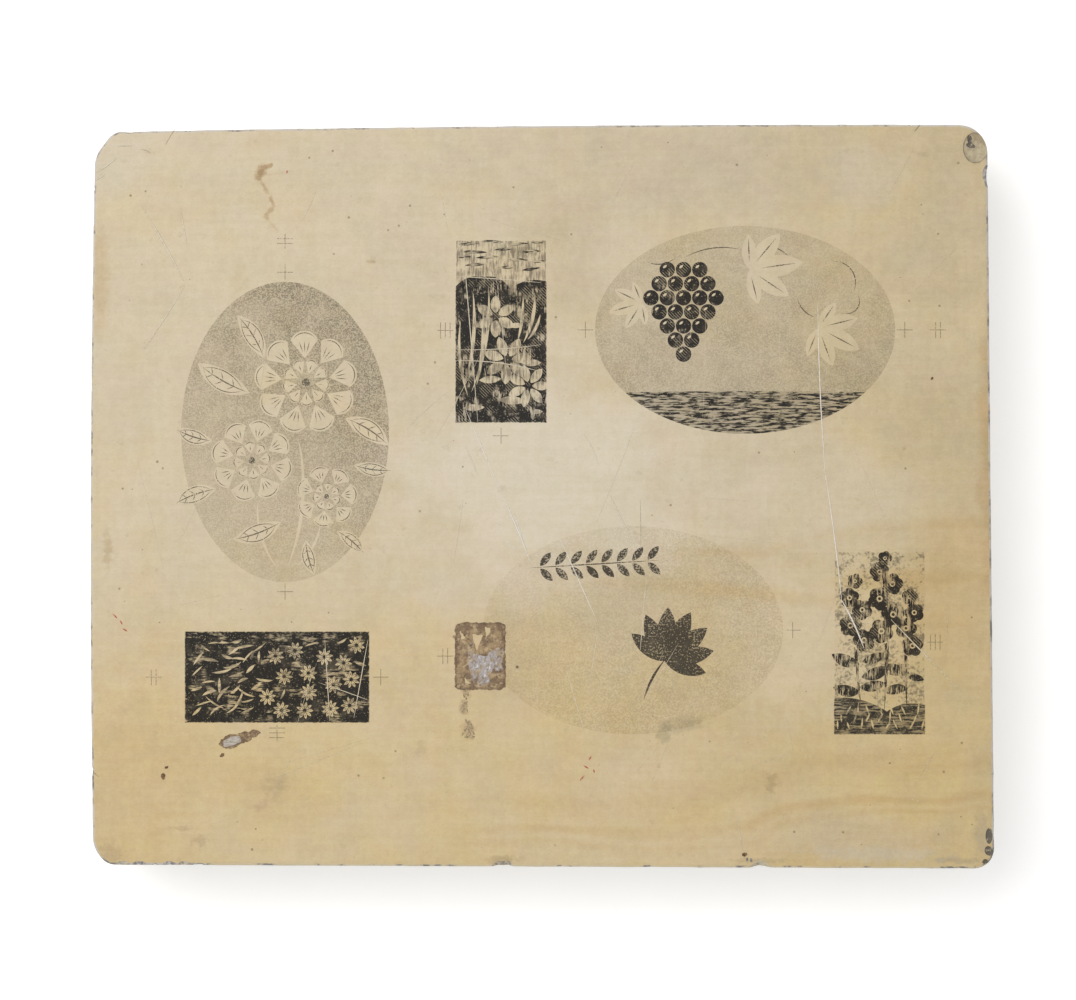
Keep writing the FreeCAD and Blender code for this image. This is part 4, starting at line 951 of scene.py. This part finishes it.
def break_edges(slab):
    """Breaks the chips, the scar, the pits and the small nicks of a long working life out of the slab."""
    broken = {
        "pale": broken_limestone("fresh_break", "#CFC3A8", "#A79A7E", 0.42),
        "grimy": broken_limestone("grimy_break", "#D3C8B2", "#9B907E", 0.50),
        "inky": broken_limestone("inky_break", "#CBC6BE", "#85827E", 0.53),
        "filthy": broken_limestone("filthy_hollow", "#B3A68B", "#625A4F", 0.61),
    }
    tools = [breaker(*side_place(side, share), sizes, broken[state]) for side, share, sizes, state in chips]
    tools.append(bowl_cutter(scar_place, scar_radii, 0, scar_ripple, scarred_limestone()))
    for middle, radii, turn, state in pits:
        tools.append(bowl_cutter(middle, radii, turn, pit_ripple_share * min(radii), broken[state]))
    draw = random.Random(7)
    taken = [(side, share) for side, share, sizes, state in chips]
    while len(taken) < len(chips) + nick_count:
        side = draw.choice(("front", "back", "right", "left", "left"))
        share = draw.uniform(0.05, 0.95)
        if all(side != other or abs(share - place) > nick_spacing_share for other, place in taken):
            taken.append((side, share))
            length = draw.uniform(*nick_lengths)
            reach = length * draw.uniform(*nick_reach_shares)
            sizes = (length, reach, length * draw.uniform(*nick_drop_shares))
            state = draw.choice(("pale", "grimy", "inky"))
            tools.append(breaker(*side_place(side, share), sizes, broken[state]))
    for cutters in rounds_of(tools):
        cutter = join(cutters)
        modifier(slab, "BOOLEAN", object=cutter, operation="DIFFERENCE", solver="EXACT",
                 material_mode="TRANSFER")
        bpy.data.objects.remove(cutter)


def stone_slab():
    """The whole block, which takes the place of the plain solid."""
    slab = slab_outline()
    raise_slab(slab)
    roughen_sides(slab)
    slab.data.materials.append(ground_limestone())
    break_edges(slab)
    only(slab)
    bpy.ops.object.shade_smooth_by_angle(angle=math.radians(smooth_angle))
    return settle(slab, "ground_stone", None, ["stone_slab"])


# Scratches and cracks

# Start and end as place shares, bow to the left as a share of the length, and width in mm.
scratches = [
    ((0.8041, 0.7571), (0.8129, 0.5224), -0.012, 0.70),
    ((0.8125, 0.5300), (0.8306, 0.3574), 0.010, 0.80),
    ((0.8300, 0.3620), (0.8549, 0.2971), 0.030, 1.00),
    ((0.4154, 0.6163), (0.4574, 0.4969), 0.000, 0.60),
    ((0.4563, 0.4996), (0.4861, 0.4138), 0.015, 0.85),
    ((0.4700, 0.4750), (0.4780, 0.4400), 0.000, 0.60),
    ((0.4480, 0.4650), (0.4560, 0.4480), 0.050, 0.45),
    ((0.4590, 0.4420), (0.4720, 0.4270), 0.000, 0.50),
    ((0.5181, 0.4473), (0.5601, 0.3333), 0.000, 0.55),
]
faint_scratches = [
    ((0.4154, 0.5667), (0.4287, 0.5278), 0.000, 0.70),
    ((0.5711, 0.5103), (0.6042, 0.4272), 0.000, 0.75),
    ((0.0577, 0.8885), (0.1052, 0.7853), 0.020, 0.95),
    ((0.1052, 0.7826), (0.0599, 0.6968), 0.010, 0.80),
    ((0.0997, 0.8872), (0.1074, 0.8363), 0.010, 0.75),
    ((0.8849, 0.3350), (0.9609, 0.2394), 0.000, 0.80),
    ((0.5457, 0.5841), (0.5623, 0.5412), 0.060, 0.60),
    ((0.2598, 0.3065), (0.2653, 0.1992), 0.000, 0.55),
    ((0.3072, 0.3065), (0.2918, 0.2032), 0.000, 0.55),
    ((0.2542, 0.2501), (0.3072, 0.2273), 0.010, 0.45),
    ((0.4121, 0.8443), (0.4287, 0.5988), 0.000, 0.55),
    ((0.4044, 0.7947), (0.4982, 0.7866), 0.010, 0.50),
    ((0.4044, 0.6820), (0.4982, 0.6672), 0.050, 0.55),
    ((0.4066, 0.6968), (0.4982, 0.7035), -0.030, 0.45),
    ((0.5620, 0.3252), (0.5520, 0.2475), 0.000, 0.60),
    ((0.6150, 0.3950), (0.6080, 0.2944), 0.000, 0.60),
    ((0.5250, 0.2743), (0.5460, 0.1871), 0.000, 0.60),
    ((0.7147, 0.0731), (0.7213, 0.0235), 0.000, 0.50),
    ((0.0312, 0.9556), (0.0069, 0.9341), 0.040, 1.00),
    ((0.0170, 0.9320), (0.0060, 0.9240), 0.040, 0.80),
    ((0.3500, 0.5900), (0.3950, 0.6400), 0.030, 0.50),
    ((0.2500, 0.9100), (0.2350, 0.8700), 0.030, 0.50),
]
cracks = [
    ((0.0840, 0.9715), (0.0955, 0.9945), 0.020, 0.34),
    ((0.0310, 0.9690), (0.0470, 0.9695), 0.030, 0.26),
    ((0.0555, 0.9655), (0.0680, 0.9600), 0.080, 0.28),
    ((0.9110, 0.9890), (0.9168, 0.9985), 0.000, 0.50),
    ((0.0030, 0.1320), (0.0100, 0.1245), 0.000, 0.40),
    ((0.6080, 0.4950), (0.6085, 0.4300), 0.010, 0.22),
]
scratch_level = 0.06 * MM
hairline_count = 46
hairline_seed = 40
# Room that a hairline leaves at the slab's edge, its length in mm, its bow as a share of that, its width in
# mm, and the ways that it runs in degrees, give or take the spread
hairline_room = 9 * MM
hairline_lengths = (12, 55)
hairline_bow_shares = (-0.02, 0.02)
hairline_widths = (0.18, 0.30)
hairline_turns = (75, 100, 60, 15, -10)
hairline_spread = 14
thread_flatness = 0.02
wobble_share = 0.004


def thread(seed, first, last, bow_share, width):
    """A thin tapered line on the ground face, modelled as a nearly flat thread."""
    run = last - first
    side = Vector((-run.y, run.x, 0))
    bpy.ops.object.select_all(action="DESELECT")
    bpy.ops.curve.primitive_nurbs_path_add(location=(0, 0, top_level + scratch_level))
    line = bpy.context.object
    points = line.data.splines[0].points
    for k, point in enumerate(points):
        share = k / (len(points) - 1)
        place = flat(first) + flat(run) * share + side * bow_share * 4 * share * (1 - share)
        wobble = noise.noise(Vector((seed * 3.7, k * 1.3, 0.5))) * wobble_share
        place += side * (wobble if 0 < k < len(points) - 1 else 0)
        point.co = (place.x, place.y, 0, 1)
        point.radius = 0.25 + 3.0 * share * (1 - share)
    line.data.splines[0].resolution_u = 12
    line.data.bevel_depth = width / 2 * MM
    line.data.bevel_resolution = 1
    line.data.use_fill_caps = True
    bpy.ops.object.convert(target="MESH")
    line.scale.z = thread_flatness
    bpy.ops.object.transform_apply(location=True, rotation=True, scale=True)
    return line


def hairlines():
    """Faint random hairlines from wiping and stacking."""
    draw = random.Random(23)
    found = []
    for k in range(hairline_count):
        first = on_top(draw.uniform(0.05, 0.95), draw.uniform(0.08, 0.95))
        turn = math.radians(draw.choice(hairline_turns) + draw.uniform(-hairline_spread, hairline_spread))
        last = first + Vector((math.cos(turn), math.sin(turn), 0)) * draw.uniform(*hairline_lengths) * MM
        if all(low[axis] + hairline_room < last[axis] < high[axis] - hairline_room for axis in (0, 1)):
            bow_share = draw.uniform(*hairline_bow_shares)
            width = draw.uniform(*hairline_widths)
            found.append(thread(hairline_seed + k, first, last, bow_share, width))
    return join(found)


def worn_line(name, colour, least, most):
    """Crushed or dirty stone along a line: dull and broken up."""
    made, tree = material_of(name)
    place = place_in_mm(tree)
    stone = add(tree, "Group", node_tree=limestone)
    show = add(tree, "MapRange", add(tree, "TexNoise", place, 1 / 1.6, 3.0, 0.6), 0.36, 0.58, least, most)
    colour = add(tree, "Mix", show, stone.outputs["Color"], linear(colour))
    surface(tree, colour, stone.outputs["Height"], 0.03 * MM, 0.8, 1.5)
    return made


# Gum, grit and paper

# Bare wedges in the gum patch: place as shares of its box, width and length in mm, and turn in degrees.
gum_gaps = [
    (0.440, 0.735, 5.6, 8.6, 176),
    (0.650, 0.865, 3.2, 6.0, 172),
    (0.140, 0.800, 2.4, 5.0, 20),
    (0.235, 0.115, 3.0, 3.6, 30),
]
# Drips round the patch: place from its front left corner, length and width in mm, turn in degrees.
drip_clots = [
    (5.0, -0.9, 2.6, 1.3, 70),
    (6.1, -1.9, 2.2, 1.0, 100),
    (4.6, -2.8, 2.0, 0.9, 80),
    (5.4, -3.9, 1.7, 0.8, 95),
    (4.7, -7.2, 3.4, 2.1, 95),
    (4.2, -5.9, 1.3, 0.9, 60),
    (5.7, -5.9, 1.1, 0.9, 20),
    (3.9, -9.4, 2.9, 0.7, 75),
    (5.7, -9.4, 2.7, 0.6, 105),
    (5.9, -15.6, 3.0, 0.9, -55),
    (7.3, -15.9, 2.6, 0.9, -60),
    (7.9, -18.0, 1.7, 1.3, 0),
    (4.6, -19.6, 4.6, 0.7, 60),
    (6.0, -20.0, 3.6, 0.7, 75),
    (7.0, -20.6, 3.2, 0.7, 95),
    (8.7, -20.4, 2.4, 0.6, -50),
    (8.2, -22.4, 2.2, 1.0, 0),
    (5.6, -22.6, 1.7, 0.7, 10),
    (-0.2, 25.1, 1.6, 1.3, 0),
    (24.0, 27.3, 2.0, 1.2, 20),
]
clot_height = 0.22 * MM
clot_spread = 1.3


def roughened(piece, node, name, material, slot, voxel, rise, size, rag):
    """Remeshes a crust and makes it lumpy with a ragged outline. Its four measures are in mm."""
    voxel, rise, size, rag = (measure * MM for measure in (voxel, rise, size, rag))
    modifier(piece, "REMESH", mode="VOXEL", voxel_size=voxel)
    for axis, seed in (("X", 0.0), ("Y", 1.0)):
        ragged = lumps("rag", "CLOUDS", size * (1.0 + 0.3 * seed), noise_depth=2)
        modifier(piece, "DISPLACE", texture=ragged, texture_coords="GLOBAL", direction=axis, strength=rag,
                 mid_level=0.5)
    modifier(piece, "DISPLACE", texture=lumps("lumps", "CLOUDS", size * 0.6, noise_depth=3),
             texture_coords="GLOBAL", direction="Z", strength=rise, mid_level=1.0)
    only(piece)
    bpy.ops.object.shade_smooth()
    return settle(piece, name, material, [node])


def copy_of(node):
    """Copy of a CAD node as a clean mesh."""
    piece = nodes[node].copy()
    piece.data = nodes[node].data.copy()
    bpy.context.scene.collection.objects.link(piece)
    piece.parent = None
    start_edit(piece)
    bpy.ops.mesh.select_all(action="SELECT")
    bpy.ops.mesh.remove_doubles(threshold=same_place)
    end_edit()
    return piece


def gum_patch():
    """Brown gum patch with the wedges where it flaked off the stone."""
    piece = copy_of("gum_patch")
    corner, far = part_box("gum_patch")
    gaps = []
    for u, v, width, length, turn in gum_gaps:
        middle = Vector((corner.x + u * (far.x - corner.x), corner.y + v * (far.y - corner.y), far.z))
        bpy.ops.object.select_all(action="DESELECT")
        bpy.ops.mesh.primitive_cylinder_add(vertices=3, radius=1.0, depth=4 * MM, location=middle,
                                            rotation=(0, 0, math.radians(turn)))
        gap = bpy.context.object
        gap.scale = (width / math.sqrt(3) * MM, length / 1.5 * MM, 1.0)
        bpy.ops.object.transform_apply(location=True, rotation=True, scale=True)
        gaps.append(gap)
    cutter = join(gaps)
    modifier(piece, "BOOLEAN", object=cutter, operation="DIFFERENCE", solver="EXACT")
    bpy.data.objects.remove(cutter)
    return piece


def clots():
    """Small clots and strokes of gum that dripped from the patch."""
    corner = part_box("gum_patch")[0]
    found = []
    for x, y, length, width, turn in drip_clots:
        bpy.ops.object.select_all(action="DESELECT")
        middle = (corner.x + x * MM, corner.y + y * MM, top_level)
        bpy.ops.mesh.primitive_ico_sphere_add(subdivisions=3, radius=1.0, location=middle,
                                              rotation=(0, 0, math.radians(turn)))
        clot = bpy.context.object
        clot.scale = (length * clot_spread / 2 * MM, width * clot_spread / 2 * MM, clot_height)
        bpy.ops.object.transform_apply(location=True, rotation=True, scale=True)
        found.append(clot)
    return join(found)


def gum_colours(tree, place):
    """Brown gum: amber where it is thin, nearly black where it is thick."""
    body = add(tree, "MapRange", add(tree, "TexNoise", place, 1 / 5, 4.0, 0.65), 0.40, 0.60)
    colour = add(tree, "Mix", body, linear("#A98E68"), linear("#7F664B"))
    thin = add(tree, "MapRange", add(tree, "TexNoise", place, 1 / 2.4, 3.0, 0.6), 0.52, 0.64, 0.0, 0.75)
    colour = add(tree, "Mix", thin, colour, linear("#C4AC84"))
    thick = add(tree, "MapRange", add(tree, "TexNoise", place, 1 / 1.6, 4.0, 0.7), 0.55, 0.68, 0.0, 0.85)
    return add(tree, "Mix", thick, colour, linear("#53443A"))


def dried_gum():
    """Gum arabic dried brown: crazed and a little glossy, darker where it piled up at the edge."""
    made, tree = material_of("dried_gum")
    place = place_in_mm(tree)
    piled = add(tree, "MapRange", room_to_edge(tree, place, "gum_patch"), 1.8, 0.2, 0.0, 0.55)
    colour = add(tree, "Mix", piled, gum_colours(tree, place), linear("#59432F"))
    surface(tree, colour, add(tree, "TexNoise", place, 1 / 0.7, 3.0, 0.6), 0.12 * MM, 0.5, 1.48)
    return made


def smeared_gum():
    """Gum wiped out with a dirty rag: red-brown, rough and dull."""
    made, tree = material_of("smeared_gum")
    place = place_in_mm(tree)
    dirt = add(tree, "MapRange", add(tree, "TexNoise", place, 1 / 1.3, 4.0, 0.65), 0.42, 0.60, 0.1, 0.85)
    colour = add(tree, "Mix", dirt, gum_colours(tree, place), linear("#664C38"))
    surface(tree, colour, add(tree, "TexNoise", place, 1 / 0.7, 3.0, 0.6), 0.12 * MM, 0.6, 1.48)
    return made


def dark_gum():
    """Gum that ran with old ink in it: dark brown clots."""
    made, tree = material_of("inky_gum")
    place = place_in_mm(tree)
    grain = add(tree, "TexNoise", place, 1 / 1.0, 3.0, 0.6)
    colour = add(tree, "Mix", add(tree, "MapRange", grain, 0.40, 0.60), linear("#C2AD87"), linear("#94815F"))
    surface(tree, colour, grain, 0.06 * MM, 0.5, 1.48)
    return made


def crystals():
    """Gum that bloomed: a whitish grey veil with bright grains, which thins out to brown at its rim."""
    made, tree = material_of("gum_crystals")
    place = place_in_mm(tree)
    corner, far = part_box("gum_crystal_bloom")
    middle, half = (corner + far) / 2 / MM, (far - corner) / 2 / MM
    size = (half.x, half.y, stain_height)
    local = add(tree, "Mapping", place, middle, (0, 0, 0), size, vector_type="TEXTURE")
    off = add(tree, "VectorMath", local, operation="LENGTH")
    drawn = add(tree, "VectorMath", place, (1.0, 1.8, 1.0), operation="DIVIDE")
    rag = add(tree, "TexNoise", drawn, 1 / 2.0, 4.0, 0.65)
    reach = add(tree, "Math", rag, 1.9, off, operation="MULTIPLY_ADD")
    veil = add(tree, "MapRange", reach, 2.10, 1.35, 0.0, 0.95)
    through = add(tree, "MapRange", add(tree, "TexNoise", drawn, 1 / 1.7, 3.0, 0.6), 0.49, 0.62, 1.0, 0.20)
    veil = add(tree, "Math", veil, through, operation="MULTIPLY")
    bright = add(tree, "MapRange", add(tree, "TexNoise", drawn, 1 / 1.1, 3.0, 0.6), 0.52, 0.66)
    white = add(tree, "Mix", bright, linear("#B3ABA8"), linear("#DFDDDD"))
    colour = add(tree, "Mix", veil, gum_colours(tree, place), white)
    surface(tree, colour, add(tree, "TexNoise", place, 1 / 0.6, 3.0, 0.6), 0.10 * MM, 0.45, 1.5)
    return made


def grit_dirt():
    """Earthy crumbs: dull dark brown."""
    made, tree = material_of("earthy_grit")
    place = place_in_mm(tree)
    lump = add(tree, "MapRange", add(tree, "TexNoise", place, 1 / 1.0, 3.0, 0.6), 0.4, 0.6)
    colour = add(tree, "Mix", lump, linear("#86694A"), linear("#5C472F"))
    surface(tree, colour, add(tree, "TexNoise", place, 1 / 0.5, 3.0, 0.6), 0.1 * MM, 0.85, 1.5)
    return made


def scrap_paper():
    """Scrap of thin rag paper stuck in the gum: greyish white, fibrous and stained through."""
    made, tree = material_of("rag_paper")
    place = place_in_mm(tree)
    drawn = add(tree, "VectorMath", place, (3.0, 1.0, 1.0), operation="DIVIDE")
    fibres = add(tree, "TexNoise", drawn, 1 / 0.7, 4.0, 0.6)
    tone = add(tree, "MapRange", fibres, 0.35, 0.65)
    colour = add(tree, "Mix", tone, linear("#AAA091"), linear("#CBC3B8"))
    stain = add(tree, "MapRange", add(tree, "TexNoise", place, 1 / 2.0, 3.0, 0.6), 0.52, 0.66, 0.0, 0.6)
    colour = add(tree, "Mix", stain, colour, linear("#A08A6C"))
    surface(tree, colour, fibres, 0.05 * MM, 0.8, 1.5)
    return made


def wax_crayon():
    """Red wax crayon dragged over the grain: broken colour."""
    made, tree = material_of("red_wax_crayon")
    place = place_in_mm(tree)
    stone = add(tree, "Group", node_tree=limestone)
    cover = add(tree, "MapRange", add(tree, "TexNoise", place, 1 / 0.7, 2.0, 0.6), 0.36, 0.52, 0.50, 1.00)
    colour = add(tree, "Mix", cover, stone.outputs["Color"], linear("#B5503F"))
    surface(tree, colour, stone.outputs["Height"], 0.05 * MM, 0.5, 1.45)
    return made


def refinish(node, material):
    """Gives a CAD node that stays its finish."""
    for slot in nodes[node].material_slots:
        slot.material = material


limestone = limestone_group()
studio()
stone_slab()

crushed_stone = worn_line("crushed_limestone", "#F2ECE0", 0.55, 1.0)
faint_scratch = worn_line("faint_scratch", "#ECE3D0", 0.10, 0.60)
crack_dirt = worn_line("crack_dirt", "#7B705C", 0.25, 0.80)
# Name, first seed, rows and finish of each kind of line
line_kinds = (
    ("scratch", 0, scratches, crushed_stone),
    ("crack", 100, cracks, crack_dirt),
    ("faint_scratch", 200, faint_scratches, faint_scratch),
)
for kind, seed, rows, finish in line_kinds:
    for number, (start, end, bow_share, width) in enumerate(rows, 1):
        line = thread(seed + number, on_top(*start), on_top(*end), bow_share, width)
        settle(line, "%s_%02d" % (kind, number), finish)
settle(hairlines(), "hairlines", faint_scratch)

level_strokes = (7.0, 1.0, 1.0)
upright_strokes = (1.0, 7.0, 1.0)
even_strokes = (1.0, 1.0, 1.0)
finishes = {
    "left_oval_stipple": old_ink(
        "stippled_tint", "#544D42", tint(0.58, 0.15, 0.40, (0.6, 0.8, 0), -113, 15, 0.55)),
    "right_oval_stipple": old_ink(
        "light_tint", "#585144", tint(0.58, 0.17, 0.27, (0, -1, 0), -129, -30, 0.50)),
    "middle_oval_ghost_stipple": old_ink(
        "ghost_tint", "#5E5340", tint(0.75, 0.04, 0.11, (0.7, -0.7, 0), -20, 120, 0.90)),
    "left_oval_line_work": old_ink("worn_line_ink", "#47423B", faded(stipple(0.6, 0.62), 0.85)),
    "right_oval_line_work": old_ink("worn_line_ink_right", "#403C36", faded(stipple(0.6, 0.62), 0.85)),
    "right_oval_table_shade": old_ink("brushed_shade", "#2E2B28", brushed(1.0, level_strokes, 0.60, 0.30)),
    "right_oval_grapes": old_ink("full_black", "#1F1E20", hatched(brushed(1.0, upright_strokes, 0.34))),
    "middle_oval_dark_spray": old_ink("mottled_black", "#3A352F", stipple(0.8, 0.60, 0.45, 0.95)),
    "middle_oval_leaf_row": old_ink("mottled_rims", "#3A342D", stipple(0.7, 0.58, 0.35, 0.95)),
    "top_panel_dark_pool": old_ink("panel_black", "#1D1D1F", hatched(frayed(
        "top_panel_dark_pool", brushed(1.0, upright_strokes, 0.42)))),
    "top_panel_sky_strokes": old_ink(
        "panel_grey_strokes", "#332F2A", brushed(0.8, level_strokes, 0.60, 0.2)),
    "left_panel_dark_hedge": old_ink("hedge_black", "#1A1B1E", frayed(
        "left_panel_dark_hedge", brushed(1.0, level_strokes, 0.38))),
    "left_panel_petal_strokes": old_ink("petal_grey", "#4A443B", stipple(0.6, 0.55)),
    "right_panel_dark_ground": old_ink("ground_black", "#34302A", frayed(
        "right_panel_dark_ground", brushed(1.0, level_strokes, 0.50, 0.5))),
    "right_panel_blossoms": old_ink(
        "blossom_black", "#24211F", hatched(brushed(0.9, upright_strokes, 0.44))),
    "right_panel_stems_and_leaves": old_ink("stem_black", "#2A2723", brushed(0.8, upright_strokes, 0.50)),
    "register_marks": old_ink("hairline_ink", "#5D574C", faded(stipple(0.6, 0.60), 0.70)),
    "ink_specks": old_ink("speck_ink", "#7D6C50", faded(stipple(0.5, 0.62, 0.3), 0.60)),
    "red_crayon_flecks": wax_crayon(),
}
for node, finish in finishes.items():
    refinish(node, finish)

half_tone("left_panel_half_tone", ["left_panel_dark_hedge"], old_ink(
    "left_grey_wash", "#5C5447", grey_wash(0.9, level_strokes, 9.0, 0.42, 0.60, 0.70)))
half_tone("top_panel_half_tone", ["top_panel_dark_pool", "top_panel_sky_strokes"], old_ink(
    "top_grey_wash", "#524B40", grey_wash(1.0, upright_strokes, 8.0, 0.43, 0.60, 0.70)))
half_tone("right_panel_half_tone", ["right_panel_dark_ground", "right_panel_blossoms"], old_ink(
    "right_grey_wash", "#5F574A", grey_wash(1.4, even_strokes, 9.0, 0.47, 0.62, 0.70)))

# Node, name, finish and slot of each crust, then in mm the step of its new mesh, the height and size of its
# lumps and the rag of its outline
crusts = (
    ("gum_patch", "brown_gum_patch", dried_gum(), "gum_brown", 0.14, 0.30, 1.8, 1.5),
    ("gum_crystal_bloom", "crystal_bloom", crystals(), "gum_bloom", 0.12, 0.30, 1.4, 2.0),
    ("gum_drips", "gum_run", dark_gum(), "gum_brown", 0.10, 0.08, 1.1, 0.7),
    ("gum_smear", "gum_streak", smeared_gum(), "gum_brown", 0.12, 0.20, 1.4, 1.6),
    ("paper_scrap", "stuck_paper", scrap_paper(), "paper", 0.06, 0.05, 2.0, 0.6),
    ("brown_grit", "crumbs", grit_dirt(), "grit_brown", 0.10, 0.20, 0.9, 0.9),
)
own_shapes = {"gum_patch": gum_patch, "gum_drips": clots}
for node, *settings in crusts:
    piece = own_shapes[node]() if node in own_shapes else copy_of(node)
    roughened(piece, node, *settings)
